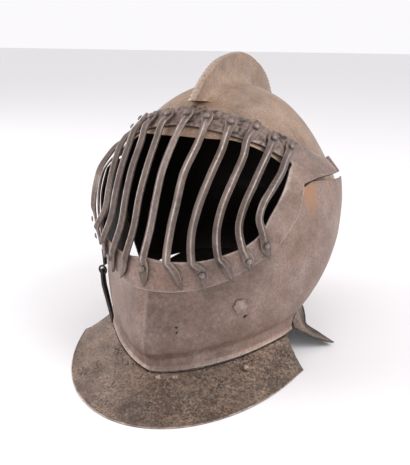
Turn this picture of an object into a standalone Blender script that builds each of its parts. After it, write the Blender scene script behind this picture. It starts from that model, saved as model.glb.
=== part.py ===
"""Close helmet with a barred face, resting on its gorget plates.

A raised skull with a hollow roped comb, a visor frame round a wide window, eleven forged
bars riveted over the window, a keeled bevor, a front and a rear gorget plate, and a hook
that hangs from an eye on the wearer's right.

Metres, +Z up. The face looks along -Y and the wearer's left is +X. Every sheet is an offset
layer of one of two forms: the skull form and the face form. Tables hold shares of the named
sizes beside them.
"""

import math

import bmesh
import bpy
import numpy as np

# sheet and fit
GAP = 0.0003                # clearance between two sheets that lie on each other
SKULL_WALL = 0.0018
VISOR_WALL = 0.0020
VISOR_CLEARANCE = 0.0009    # play between the visor frame and the plates under it
BEVOR_WALL = 0.0018
GORGET_WALL = 0.0016

# skull form: a bowl of oval sections
SKULL_HEIGHT = 0.2450       # crown above the floor, without the comb
SKULL_HALF_WIDTH = 0.1130
SKULL_HALF_LENGTH = 0.1344
SKULL_CENTRE_Y = 0.0578
SKULL_POWER = 2.2           # plan section: 2 is an ellipse, more is squarer
SKULL_FOOT = 0.0450         # height of the skull's lower edge at the nape
# height share of SKULL_HEIGHT, half-width share, length shares forward and back
SKULL_ROWS = [
    ("height", "width", "front", "rear"),
    (0.180, 0.740, 0.62, 0.520),
    (0.220, 0.780, 0.70, 0.580),
    (0.270, 0.840, 0.80, 0.680),
    (0.330, 0.900, 0.92, 0.810),
    (0.400, 0.950, 1.00, 0.920),
    (0.480, 0.975, 0.99, 0.980),
    (0.558, 0.970, 0.965, 0.965),
    (0.622, 0.930, 0.930, 0.930),
    (0.678, 0.865, 0.886, 0.886),
    (0.730, 0.802, 0.836, 0.836),
    (0.794, 0.718, 0.754, 0.754),
    (0.858, 0.616, 0.645, 0.645),
    (0.918, 0.485, 0.504, 0.504),
    (0.961, 0.338, 0.351, 0.351),
    (0.987, 0.196, 0.204, 0.204),
    (1.000, 0.0, 0.0, 0.0),
]

# comb: a hollow blade along the median, with a roped crest
COMB_CREST_HEIGHT = 0.2722  # highest point above the floor
COMB_THICKNESS = 0.0064
COMB_FOOT_SPREAD = 0.0170   # half-width of the fillet at the foot
COMB_WALL = 0.0014
ROPE_PITCH = 0.0052
ROPE_DEPTH = 0.0010
COMB_HUB_HEIGHT = 0.0930    # the comb's stations fan out from this height above the floor
# crest station as shares of SKULL_HALF_LENGTH from SKULL_CENTRE_Y and of COMB_CREST_HEIGHT,
# and the angle in degrees at which the foot of that station leaves the hub, 90 straight up
COMB_CREST = [
    ("y", "z", "foot"),
    (-0.545, 0.8600, 68.6),
    (-0.520, 0.8730, 69.0),
    (-0.485, 0.8875, 69.8),
    (-0.421, 0.9130, 71.6),
    (-0.348, 0.9362, 74.4),
    (-0.243, 0.9642, 79.3),
    (-0.118, 0.9847, 84.8),
    (0.050, 0.9969, 92.0),
    (0.229, 1.0000, 99.5),
    (0.383, 0.9887, 106.0),
    (0.529, 0.9645, 113.0),
    (0.662, 0.9347, 119.6),
    (0.783, 0.8928, 125.7),
    (0.862, 0.8458, 130.7),
    (0.939, 0.7865, 136.0),
    (1.000, 0.7165, 143.0),
    (1.036, 0.6420, 152.0),
    (1.040, 0.5700, 160.4),
    (1.012, 0.4980, 168.3),
]

# neck plane: a tilted plane on which the bevor's lower edge stands
NECK_FRONT_Z = 0.0172
NECK_SLOPE = 0.108
NECK_FRONT_Y = -0.1010

# face form: oval sections measured up from the neck plane
FACE_HALF_WIDTH = 0.1185
FACE_FRONT = 0.1060         # how far the chin reaches forward of the ear line
FACE_REAR = 0.1760          # and how far the form reaches back
FACE_HEIGHT = 0.1500        # from the neck plane to the level of the temples
KEEL_DEPTH = 0.0042
KEEL_HALF_WIDTH = 0.0400
NECK_SKEW = 0.085           # the neck's front leans to the wearer's left, share of its reach
# height share of FACE_HEIGHT, half-width share of FACE_HALF_WIDTH, front share of FACE_FRONT,
# widest station and rear as shares of FACE_REAR, plan power ahead of the widest station,
# keel share and skew share
FACE_ROWS = [
    ("height", "width", "front", "mid", "rear", "power", "keel", "skew"),
    (0.000, 0.823, 0.990, 0.030, 0.690, 1.47, 0.0, 1.00),
    (0.022, 0.802, 0.970, 0.035, 0.680, 1.46, 0.1, 0.90),
    (0.055, 0.802, 0.970, 0.045, 0.690, 1.46, 0.4, 0.75),
    (0.110, 0.845, 0.995, 0.080, 0.740, 1.47, 0.9, 0.40),
    (0.170, 0.893, 0.985, 0.125, 0.785, 1.50, 1.0, 0.10),
    (0.260, 0.943, 0.963, 0.180, 0.850, 1.53, 1.0, 0.00),
    (0.360, 0.978, 0.930, 0.220, 0.910, 1.55, 1.0, 0.00),
    (0.470, 0.996, 0.908, 0.250, 0.960, 1.60, 0.9, 0.00),
    (0.630, 1.000, 0.900, 0.256, 1.000, 1.68, 0.5, 0.00),
    (0.760, 0.985, 0.870, 0.256, 0.990, 1.76, 0.2, 0.00),
    (0.880, 0.940, 0.800, 0.256, 0.970, 1.86, 0.0, 0.00),
    (1.000, 0.855, 0.710, 0.256, 0.940, 2.00, 0.0, 0.00),
    (1.150, 0.780, 0.590, 0.256, 0.900, 2.10, 0.0, 0.00),
]

# visor frame: plan angle in degrees from the face, and height as a share of SKULL_HEIGHT, for
# the window's edge and the frame's outer edge side by side, from the brow round to the chin
VISOR_BLEND_LOW = 0.650     # share of SKULL_HEIGHT below which the frame follows the face form
VISOR_BLEND_HIGH = 0.790    # and above which it follows the skull form
VISOR_ROWS = [
    ("window_turn", "window_z", "edge_turn", "edge_z"),
    (0.0, 0.869, 0.0, 0.9285),
    (7.0, 0.867, 7.0, 0.9265),
    (14.0, 0.862, 14.5, 0.920),
    (26.5, 0.850, 27.0, 0.911),
    (37.5, 0.833, 43.0, 0.892),
    (50.8, 0.807, 58.8, 0.859),
    (60.4, 0.771, 72.6, 0.818),
    (65.8, 0.752, 84.9, 0.769),
    (66.6, 0.738, 90.5, 0.738),
    (64.0, 0.726, 96.0, 0.716),
    (61.0, 0.706, 97.0, 0.671),
    (57.4, 0.679, 87.0, 0.683),
    (53.9, 0.650, 76.0, 0.694),
    (51.7, 0.627, 69.3, 0.684),
    (49.0, 0.597, 65.6, 0.652),
    (46.7, 0.565, 62.4, 0.598),
    (43.9, 0.533, 56.3, 0.532),
    (39.1, 0.505, 50.1, 0.472),
    (35.3, 0.492, 45.1, 0.443),
    (31.6, 0.482, 40.7, 0.420),
    (22.5, 0.466, 33.5, 0.384),
    (12.3, 0.465, 22.7, 0.358),
    (6.0, 0.470, 12.8, 0.353),
    (0.0, 0.476, 0.0, 0.357),
]
ARM_END = 10                # the row at the lower corner of the arm's end
# window of the skull's own face opening, behind the frame's window: y as a share of
# SKULL_HALF_LENGTH from SKULL_CENTRE_Y and z as a share of SKULL_HEIGHT
SKULL_WINDOW = [
    ("y", "z"),
    (-1.300, 0.842), (-0.655, 0.840), (-0.600, 0.832), (-0.540, 0.812), (-0.470, 0.780),
    (-0.405, 0.738), (-0.365, 0.706), (-0.300, 0.660), (-0.200, 0.560), (-0.160, 0.420),
    (-0.200, 0.280), (-0.340, 0.100), (-1.300, 0.100),
]

# temple hinge barrels behind the arms
BARREL_RADIUS = 0.0021
BARREL_LENGTH = 0.0125
BARREL_TURN = 101.5         # plan angle in degrees
BARREL_Z = 0.6940           # share of SKULL_HEIGHT
BARREL_GROOVE = 0.0006

# bars: eleven, the middle one on the median and five each side
BAR_WIDTH = 0.0068
BAR_DEPTH = 0.0048
LEAF_WIDTH = 0.0104
LEAF_DEPTH = 0.0026
LEAF_SEAT = 0.0009          # play under a leaf, whose flat back bridges the curved frame
LEAF_END = 0.0042           # from the top rivet to the leaf's upper end
BAR_STANDOFF = 0.0010       # back of a bar above the frame where it crosses the window's edge
RIVET_RADIUS = 0.0029
RIVET_RISE = 0.0017
RIVET_SEAT = 0.0012         # a head's rim above the ridge of its leaf
GRILLE_HALF_WIDTH = 0.1240
GRILLE_HUG = 0.62           # bars beyond this share lie close over the window's edge
GRILLE_REACH = 0.0994       # the middle bar's ridge at its lower end, ahead of the ear line
# grille form on which the ridges of the bars lie: height as a share of SKULL_HEIGHT, front as
# a share of GRILLE_REACH, half-width as a share of GRILLE_HALF_WIDTH, and the plan power
GRILLE_ROWS = [
    ("height", "front", "width", "power"),
    (0.420, 1.004, 1.000, 1.68),
    (0.457, 0.996, 1.000, 1.68),
    (0.490, 0.986, 1.000, 1.68),
    (0.531, 0.959, 1.000, 1.68),
    (0.571, 0.920, 1.000, 1.68),
    (0.612, 0.876, 0.985, 1.68),
    (0.653, 0.830, 1.016, 1.60),
    (0.694, 0.779, 1.048, 1.50),
    (0.735, 0.726, 1.040, 1.42),
    (0.776, 0.659, 0.990, 1.40),
    (0.816, 0.563, 0.930, 1.38),
    (0.849, 0.475, 0.871, 1.40),
    (0.878, 0.379, 0.830, 1.45),
    (0.906, 0.272, 0.775, 1.60),
]
# for each bar outward from the median: lateral places as shares of GRILLE_HALF_WIDTH at its
# top rivet, where it crosses the window's upper edge, at four places down its run, where it
# crosses the window's lower edge, at its lower rivet and at its tip; then the heights of the
# rivet, of both crossings, of the lower rivet and of the tip as shares of SKULL_HEIGHT
BAR_ROWS = [
    ("top", "brow", "upper", "middle", "bulge", "foot", "sill", "low", "tip",
     "top_z", "brow_z", "sill_z", "low_z", "tip_z"),
    (0.000, 0.000, 0.000, 0.000, 0.000, 0.000, 0.000, 0.000, 0.000,
     0.9140, 0.8955, 0.478, 0.440, 0.375),
    (0.155, 0.172, 0.171, 0.153, 0.1525, 0.147, 0.166, 0.203, 0.247,
     0.9070, 0.8880, 0.470, 0.424, 0.369),
    (0.3185, 0.335, 0.330, 0.314, 0.292, 0.284, 0.319, 0.361, 0.373,
     0.8910, 0.8690, 0.466, 0.422, 0.363),
    (0.4645, 0.465, 0.4685, 0.4515, 0.4305, 0.427, 0.468, 0.501, 0.525,
     0.8720, 0.8420, 0.480, 0.431, 0.387),
    (0.575, 0.597, 0.593, 0.574, 0.552, 0.546, 0.596, 0.609, 0.6145,
     0.8330, 0.8070, 0.506, 0.458, 0.417),
    (0.669, 0.702, 0.713, 0.704, 0.682, 0.674, 0.693, 0.6975, 0.716,
     0.7970, 0.7695, 0.560, 0.506, 0.450),
]
RUN_PLACES = (0.13, 0.34, 0.56, 0.78)   # where the four run stations lie between the crossings
FLUSH_LOWER = (1, 3)        # bars whose lower rivet is hammered flush

# bevor
BEVOR_UNDER = 0.0045        # how far the bevor reaches up under the visor frame
BEVOR_TOP_GAP = 0.0026      # slit between the bevor's top edge and the visor's arm
BEVOR_TOP_TURN = 114.0      # plan angle in degrees at which the bevor's top edge ends
# rear edge in side view, from the neck up: height share of FACE_HEIGHT, y share of FACE_REAR
BEVOR_REAR = [
    ("height", "y"),
    (0.00, 0.00),
    (0.10, 0.12),
    (0.25, 0.26),
    (0.45, 0.40),
    (0.70, 0.50),
    (1.00, 0.55),
]
# holes through the bevor: plan angle in degrees, height above the floor as a share of
# SKULL_HEIGHT, radius as a share of BEVOR_HOLE
BEVOR_HOLE = 0.0015
BEVOR_HOLES = [
    ("turn", "z", "radius"),
    (45.2, 0.236, 1.00),
    (18.4, 0.2255, 0.62),
    (19.2, 0.2060, 0.55),
]

# gorget plates
GORGET_DROP = 0.0020        # the front plate's upper edge below the bevor's lower edge
GORGET_TUCK = 0.0030        # how far a plate's upper edge runs in under the edge above it
RIM_HALF_WIDTH = 0.1195
RIM_FRONT = 0.1890          # from RIM_CENTRE_Y to the front of the rim on the floor
RIM_CENTRE_Y = 0.0300
RIM_SKEW = 0.070            # the rim's front leans to the wearer's left like the neck's
# depth of the front plate's two ends at its top and at its rim
GORGET_LEFT_END = (-0.0080, -0.0190)
GORGET_RIGHT_END = (-0.0340, -0.0420)
GORGET_FRONT_DISH = 1.25    # 1 is a straight flare, more drops sooner and runs out flatter
GORGET_REAR_DISH = 2.6
REAR_TIP_X = 0.1280         # the rear plate's pointed front corners
REAR_REACH = 0.1520
REAR_TIP_LIFT = 0.0040
# rear plate's rim in plan, from a front corner to the back: shares of REAR_TIP_X, REAR_REACH
REAR_RIM = [
    ("x", "y"),
    (1.00, 0.245),
    (0.82, 0.370),
    (0.70, 0.460),
    (0.63, 0.600),
    (0.54, 0.760),
    (0.40, 0.900),
    (0.20, 0.980),
    (0.00, 1.000),
]
# its upper edge: shares of REAR_TIP_X, of REAR_REACH and of SKULL_FOOT
REAR_TOP = [
    ("x", "y", "z"),
    (0.762, 0.040, 0.615),
    (0.750, 0.130, 0.640),
    (0.700, 0.250, 0.700),
    (0.640, 0.380, 0.780),
    (0.605, 0.530, 0.870),
    (0.540, 0.650, 0.940),
    (0.420, 0.755, 0.972),
    (0.220, 0.825, 0.980),
    (0.000, 0.845, 0.980),
]
# domed rivets on the front gorget plate: plan angle in degrees, share of the way to the rim
GORGET_RIVETS = [
    ("turn", "out"),
    (10.5, 0.13),
    (19.5, 0.13),
    (50.5, 0.25),
]

# rosette rivet on the wearer's left cheek
ROSETTE_RADIUS = 0.0070
ROSETTE_RISE = 0.0028
ROSETTE_TURN = 41.6         # plan angle in degrees
ROSETTE_Z = 0.2800          # share of SKULL_HEIGHT

# hook on the wearer's right, hanging from the ring of a strap on the bevor
HOOK_Y = -0.0480
HOOK_RING_Z = 0.0735
HOOK_RING_STANDOFF = 0.0068 # ring's centre outside the bevor
HOOK_RING_RADIUS = 0.0040
HOOK_RING_WIRE = 0.0010
STRAP_TOP_Z = 0.0955
STRAP_SEAT = 0.0028         # the flat strap bridges the curved cheek
STRAP_WIDTH = 0.0040
STRAP_THICKNESS = 0.0020
HOOK_THICKNESS = 0.0024
HOOK_SLOT_HALF = 0.0015
# hook from its pin down: y and height above the floor as shares of HOOK_RING_Z, distance from
# the bevor as a share of HOOK_RING_STANDOFF, and width as a share of STRAP_WIDTH
HOOK_ROWS = [
    ("y", "z", "out", "width"),
    (-0.653, 0.880, 1.00, 1.55),
    (-0.662, 0.800, 0.86, 1.35),
    (-0.685, 0.690, 0.62, 1.35),
    (-0.735, 0.560, 0.42, 1.20),
    (-0.800, 0.450, 0.36, 0.95),
    (-0.865, 0.385, 0.36, 0.45),
]


def shares(rows, name):
    """One column of a table whose first row holds the column names."""
    at = rows[0].index(name)
    return np.array([row[at] for row in rows[1:]], dtype=float)


def smooth(xs, ys, x):
    """Monotone cubic through the points, held level past both ends."""
    xs, ys = np.asarray(xs, float), np.asarray(ys, float)
    x = np.clip(np.asarray(x, float), xs[0], xs[-1])
    h = np.diff(xs)
    d = np.diff(ys) / h
    m = np.zeros(len(xs))
    m[0], m[-1] = d[0], d[-1]
    w1, w2 = 2 * h[1:] + h[:-1], h[1:] + 2 * h[:-1]
    same = d[:-1] * d[1:] > 0
    safe = np.where(same, d[:-1], 1.0), np.where(same, d[1:], 1.0)
    m[1:-1] = np.where(same, (w1 + w2) / (w1 / safe[0] + w2 / safe[1]), 0.0)
    i = np.clip(np.searchsorted(xs, x, side="right") - 1, 0, len(xs) - 2)
    t = (x - xs[i]) / h[i]
    return (
        ys[i] * (1 + 2 * t) * (1 - t) ** 2
        + m[i] * h[i] * t * (1 - t) ** 2
        + ys[i + 1] * t * t * (3 - 2 * t)
        - m[i + 1] * h[i] * t * t * (1 - t)
    )


def through(points, t):
    """Points on a smooth curve through the given points, t from 0 to 1 along it."""
    points = np.asarray(points, float)
    step = np.linalg.norm(np.diff(points, axis=0), axis=1)
    s = np.concatenate([[0.0], np.cumsum(np.maximum(step, 1e-9))])
    s /= s[-1]
    n = len(points)
    tangent = np.zeros_like(points)
    for i in range(n):
        a, b = max(i - 1, 0), min(i + 1, n - 1)
        tangent[i] = (points[b] - points[a]) / (s[b] - s[a])
    t = np.asarray(t, float)
    i = np.clip(np.searchsorted(s, t, side="right") - 1, 0, n - 2)
    h = (s[i + 1] - s[i])[:, None]
    u = ((t - s[i]) / (s[i + 1] - s[i]))[:, None]
    return (
        points[i] * (1 + 2 * u) * (1 - u) ** 2
        + tangent[i] * h * u * (1 - u) ** 2
        + points[i + 1] * u * u * (3 - 2 * u)
        - tangent[i + 1] * h * u * u * (1 - u)
    )


def oval(phi, half_width, front, rear, power_front, power_rear, centre_y):
    """Point of a plan section at angle phi, 0 at the face and pi at the nape."""
    s, c = np.sin(phi), np.cos(phi)
    ahead = c > 0
    power = np.where(ahead, power_front, power_rear)
    x = half_width * np.sign(s) * np.abs(s) ** (2 / power)
    y = centre_y - np.where(ahead, front, -rear) * np.abs(c) ** (2 / power)
    return x, y


def skull_form(phi, z):
    """Outer surface of the skull at plan angle phi and height z."""
    row = [smooth(shares(SKULL_ROWS, "height") * SKULL_HEIGHT, shares(SKULL_ROWS, k), z)
           for k in ("width", "front", "rear")]
    # the crown closes round, so its last rows follow a circle and not the table's chord
    x, y = oval(phi, row[0] * SKULL_HALF_WIDTH, row[1] * SKULL_HALF_LENGTH,
                row[2] * SKULL_HALF_LENGTH, SKULL_POWER, SKULL_POWER, SKULL_CENTRE_Y)
    return np.stack([x, y, z + 0 * x], -1)


def neck_z(y):
    """Height of the tilted neck plane at y."""
    return NECK_FRONT_Z + NECK_SLOPE * (y - NECK_FRONT_Y)


def face_form(phi, h):
    """Outer surface of the bevor at plan angle phi and height h above the neck plane."""
    up = shares(FACE_ROWS, "height") * FACE_HEIGHT
    width, front, mid, rear, power, keel, skew = (
        smooth(up, shares(FACE_ROWS, k), h)
        for k in ("width", "front", "mid", "rear", "power", "keel", "skew"))
    centre = mid * FACE_REAR
    x, y = oval(phi, width * FACE_HALF_WIDTH,
                front * FACE_FRONT + centre - keel * KEEL_DEPTH,
                rear * FACE_REAR - centre, power, 2.2, centre)
    ridge = np.clip(1 - np.abs(x) / KEEL_HALF_WIDTH, 0, 1)
    y = y - np.where(np.cos(phi) > 0, keel * KEEL_DEPTH * ridge, 0)
    x = x + NECK_SKEW * skew * np.clip(-y - 0.3 * FACE_FRONT, 0, None)
    return np.stack([x, y, neck_z(y) + h], -1)


def face_at(phi, z):
    """The face form at height z above the floor, found by a few fixed-point steps."""
    h = z - neck_z(np.zeros_like(z))
    for _ in range(12):
        h = h + (z - face_form(phi, h)[..., 2])
    return face_form(phi, h)


def visor_form(phi, z):
    """Middle layer under the visor frame: face form below, skull form above, blended between."""
    w = np.clip((z / SKULL_HEIGHT - VISOR_BLEND_LOW) / (VISOR_BLEND_HIGH - VISOR_BLEND_LOW), 0, 1)
    w = (w * w * (3 - 2 * w))[..., None]
    return (1 - w) * face_at(phi, z) + w * skull_form(phi, z)


def angle_at(form, y, z):
    """Plan angle at which a form at height z reaches y, by bisection; far forward gives 0."""
    low, high = np.zeros_like(y), np.full_like(y, math.pi)
    for _ in range(40):
        mid = 0.5 * (low + high)
        ahead = form(mid, z)[..., 1] < y
        low, high = np.where(ahead, mid, low), np.where(ahead, high, mid)
    return 0.5 * (low + high)


def offset(form, a, b, distance):
    """Points of form(a, b) moved along the outward normal."""
    e = 1e-4
    p = form(a, b)
    da = form(a + e, b) - form(a - e, b)
    db = form(a, b + e * 0.1) - form(a, b - e * 0.1)
    n = np.cross(da, db)
    n /= np.maximum(np.linalg.norm(n, axis=-1, keepdims=True), 1e-12)
    return p + n * distance


def material(name, colour, roughness, metallic):
    """A Principled material of its own."""
    found = bpy.data.materials.get(name)
    if found:
        return found
    made = bpy.data.materials.new(name)
    made.use_nodes = True
    shader = made.node_tree.nodes["Principled BSDF"]
    shader.inputs["Base Color"].default_value = (*colour, 1)
    shader.inputs["Roughness"].default_value = roughness
    shader.inputs["Metallic"].default_value = metallic
    return made


def add(name, verts, faces, look, sharp=40.0):
    """A mesh object from points and faces, with outward normals and smooth round parts."""
    mesh = bpy.data.meshes.new(name)
    mesh.from_pydata([tuple(map(float, v)) for v in verts], [], faces)
    bm = bmesh.new()
    bm.from_mesh(mesh)
    bmesh.ops.remove_doubles(bm, verts=bm.verts, dist=1e-6)
    bmesh.ops.recalc_face_normals(bm, faces=bm.faces)
    bm.to_mesh(mesh)
    bm.free()
    mesh.shade_smooth()
    mesh.set_sharp_from_angle(angle=math.radians(sharp))
    mesh.materials.append(look)
    thing = bpy.data.objects.new(name, mesh)
    bpy.context.scene.collection.objects.link(thing)
    return thing


def shell(outer, inner, wrap=False):
    """Closed sheet between two grids of points; wrap joins the last column to the first."""
    rows, cols = outer.shape[:2]
    verts = np.concatenate([outer.reshape(-1, 3), inner.reshape(-1, 3)])
    back = rows * cols

    def at(i, j):
        return i * cols + j % cols

    faces = []
    span = cols if wrap else cols - 1
    for i in range(rows - 1):
        for j in range(span):
            quad = [at(i, j), at(i, j + 1), at(i + 1, j + 1), at(i + 1, j)]
            faces.append(quad)
            faces.append([back + k for k in reversed(quad)])
    for i in (0, rows - 1):
        for j in range(span):
            faces.append([at(i, j), at(i, j + 1), back + at(i, j + 1), back + at(i, j)])
    if not wrap:
        for i in range(rows - 1):
            for j in (0, cols - 1):
                faces.append([at(i, j), at(i + 1, j), back + at(i + 1, j), back + at(i, j)])
    return verts, faces


def boolean(thing, cutter, kind):
    """Apply an exact Boolean and drop the other object."""
    mod = thing.modifiers.new(kind.lower(), "BOOLEAN")
    mod.operation = kind
    mod.solver = "EXACT"
    mod.object = cutter
    bpy.context.view_layer.update()
    graph = bpy.context.evaluated_depsgraph_get()
    made = bpy.data.meshes.new_from_object(thing.evaluated_get(graph))
    thing.modifiers.clear()
    old = thing.data
    thing.data = made
    bpy.data.meshes.remove(old)
    bpy.data.objects.remove(cutter)
    return thing


def prism(name, outline, half_width, look):
    """A solid with a side-view outline of (y, z) points, as wide as half_width each side."""
    n = len(outline)
    verts = [(-half_width, y, z) for y, z in outline] + [(half_width, y, z) for y, z in outline]
    faces = [list(range(n))[::-1], list(range(n, 2 * n))]
    faces += [[i, (i + 1) % n, n + (i + 1) % n, n + i] for i in range(n)]
    return add(name, verts, faces, look)


def drill(name, centre, direction, radius, length, look, sides=10):
    """A round cutter along a direction."""
    d = np.asarray(direction, float)
    d /= np.linalg.norm(d)
    u = np.cross(d, (0.0, 0.0, 1.0))
    u /= np.linalg.norm(u)
    v = np.cross(d, u)
    ring = [u * math.cos(a) * radius + v * math.sin(a) * radius
            for a in np.arange(sides) * 2 * math.pi / sides]
    c = np.asarray(centre, float)
    verts = [c - d * length / 2 + r for r in ring] + [c + d * length / 2 + r for r in ring]
    faces = [list(range(sides))[::-1], list(range(sides, 2 * sides))]
    faces += [[i, (i + 1) % sides, sides + (i + 1) % sides, sides + i] for i in range(sides)]
    return add(name, verts, faces, look)


def clear_scene():
    for thing in list(bpy.data.objects):
        bpy.data.objects.remove(thing)


def median_frames(count):
    """Crest and foot of the comb at stations along the median, with the hub they fan from."""
    ys = SKULL_CENTRE_Y + shares(COMB_CREST, "y") * SKULL_HALF_LENGTH
    zs = shares(COMB_CREST, "z") * COMB_CREST_HEIGHT
    t = np.linspace(0, 1, count)
    crest = through(np.stack([0 * ys, ys, zs], -1), t)
    step = np.hypot(np.diff(ys), np.diff(zs))
    along = np.concatenate([[0.0], np.cumsum(step)])
    angle = np.radians(smooth(along / along[-1], shares(COMB_CREST, "foot"), t))
    hub = np.array([0.0, SKULL_CENTRE_Y, COMB_HUB_HEIGHT])
    away = np.stack([0 * angle, -np.cos(angle), np.sin(angle)], -1)
    foot = np.array([skull_drop(0.0, hub + d * 0.1, hub, 0.0) for d in away])
    return crest, foot, hub


def skull_drop(x, p, hub, depth):
    """Point at lateral x on the skull form, in the plane through the X axis at hub and p."""
    d = (p - hub) / np.linalg.norm(p - hub)
    low, high = 0.0, 2.0 * SKULL_HEIGHT
    for _ in range(36):
        mid = 0.5 * (low + high)
        q = hub + d * mid + np.array([x, 0, 0])
        z = min(max(q[2], 0.0), SKULL_HEIGHT * 0.99999)
        row = [float(smooth(shares(SKULL_ROWS, "height") * SKULL_HEIGHT,
                            shares(SKULL_ROWS, k), z)) for k in ("width", "front", "rear")]
        length = (row[1] if q[1] < SKULL_CENTRE_Y else row[2]) * SKULL_HALF_LENGTH
        level = (abs(q[0]) / max(row[0] * SKULL_HALF_WIDTH, 1e-9)) ** SKULL_POWER + (
            abs(q[1] - SKULL_CENTRE_Y) / max(length, 1e-9)) ** SKULL_POWER
        if level < 1 and q[2] < SKULL_HEIGHT:
            low = mid
        else:
            high = mid
    return hub + d * (low - depth) + np.array([x, 0, 0])


def make_skull(look):
    """Bowl with a hollow comb, open at the face and at the neck."""
    around, up = 48, 13
    phi = np.arange(around) * 2 * math.pi / around
    t = np.linspace(0, 1, up)[:-1]
    # heights crowd toward the crown so that the bowl stays round there
    z = SKULL_FOOT + (SKULL_HEIGHT - SKULL_FOOT) * np.sin(t * math.pi / 2) ** 0.9
    grid_phi, grid_z = np.meshgrid(phi, z)
    outer = skull_form(grid_phi, grid_z)
    inner = offset(skull_form, grid_phi, grid_z, -SKULL_WALL)
    inner[0, :, 2] = outer[0, :, 2]
    verts, faces = shell(outer, inner, wrap=True)
    faces = [f for f in faces if not all(
        (k % (outer.shape[0] * around)) // around == outer.shape[0] - 1 for k in f)]
    rows = outer.shape[0]
    top = len(verts)
    verts = np.concatenate([verts, [[0, SKULL_CENTRE_Y, SKULL_HEIGHT],
                                    [0, SKULL_CENTRE_Y, SKULL_HEIGHT - SKULL_WALL]]])
    for j in range(around):
        a, b = (rows - 1) * around + j, (rows - 1) * around + (j + 1) % around
        faces.append([a, b, top])
        faces.append([b + rows * around, a + rows * around, top + 1])
    bowl = add("skull", verts, faces, look)

    crest, foot, hub = median_frames(1 + 2 * int(round(0.135 / ROPE_PITCH)))
    stations = len(crest)
    half = COMB_THICKNESS / 2
    for kind, wall in (("UNION", 0.0), ("DIFFERENCE", COMB_WALL)):
        sections = []
        depth = SKULL_WALL * (0.5 if kind == "UNION" else 2.2)
        for i, (c, f) in enumerate(zip(crest, foot)):
            out = (c - f) / np.linalg.norm(c - f)
            tall = np.linalg.norm(c - f) - 2.0 * wall
            rope = ROPE_DEPTH * (i % 2) if kind == "UNION" else 0.0
            w = half - wall
            side = [skull_drop(COMB_FOOT_SPREAD - wall, f, hub, depth)]
            for x, base in ((half * 2.3 - wall, 0.10), (half * 1.45 - wall, 0.36),
                            (half * 1.08 - wall, 0.74)):
                side.append(skull_drop(x, f, hub, 0.0) + out * base * tall)
            cap = [f + out * (tall - 0.0013) + np.array([w * 0.85, 0, 0]),
                   f + out * (tall - rope)]
            ring = side + cap
            mirrored = [np.array([-p[0], p[1], p[2]]) for p in reversed(ring[:-1])]
            sections.append(ring + mirrored)
        if kind == "DIFFERENCE":
            sections = sections[4:-3:2]
        sections = np.array(sections)
        n, m = sections.shape[:2]
        v = sections.reshape(-1, 3)
        fs = [[i * m + j, i * m + (j + 1) % m, (i + 1) * m + (j + 1) % m, (i + 1) * m + j]
              for i in range(n - 1) for j in range(m)]
        fs += [list(range(m))[::-1], [(n - 1) * m + j for j in range(m)]]
        boolean(bowl, add("comb", v, fs, look), kind)

    face = SKULL_CENTRE_Y + shares(SKULL_WINDOW, "y") * SKULL_HALF_LENGTH
    height = shares(SKULL_WINDOW, "z") * SKULL_HEIGHT
    boolean(bowl, prism("face_opening", list(zip(face, height)), SKULL_HALF_WIDTH * 1.5, look),
            "DIFFERENCE")
    return bowl


def make_visor(look):
    """Ring-shaped frame round the window, with an arm back to each temple."""
    table = {k: shares(VISOR_ROWS, k) for k in VISOR_ROWS[0]}
    count = 45
    t = np.linspace(0, 1, count)
    loops = []
    for edge in ("window", "edge"):
        z = table[edge + "_z"] * SKULL_HEIGHT
        phi = np.radians(table[edge + "_turn"])
        keys = np.linspace(0, 1, len(phi))
        loops.append((smooth(keys, phi, t), smooth(keys, z, t)))
    across = np.linspace(0, 1, 3)
    grids = []
    for layer in (VISOR_CLEARANCE + VISOR_WALL, VISOR_CLEARANCE):
        grid = []
        for a in across:
            phi = loops[0][0] * (1 - a) + loops[1][0] * a
            z = loops[0][1] * (1 - a) + loops[1][1] * a
            left = offset(visor_form, phi, z, layer)
            left[0, 0] = left[-1, 0] = 0.0
            right = left[::-1][1:-1] * np.array([-1, 1, 1])
            grid.append(np.concatenate([left, right]))
        grids.append(np.array(grid))
    verts, faces = shell(grids[0], grids[1], wrap=True)
    return add("visor_frame", verts, faces, look)


def face_point(turn, z, distance):
    """Point and normal on a layer over the face form, at a plan angle in degrees."""
    phi, zs = np.array([math.radians(turn)]), np.array([z])
    p = offset(face_at, phi, zs, distance)[0]
    n = p - offset(face_at, phi, zs, distance - 1e-3)[0]
    return p, n / np.linalg.norm(n)


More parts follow.
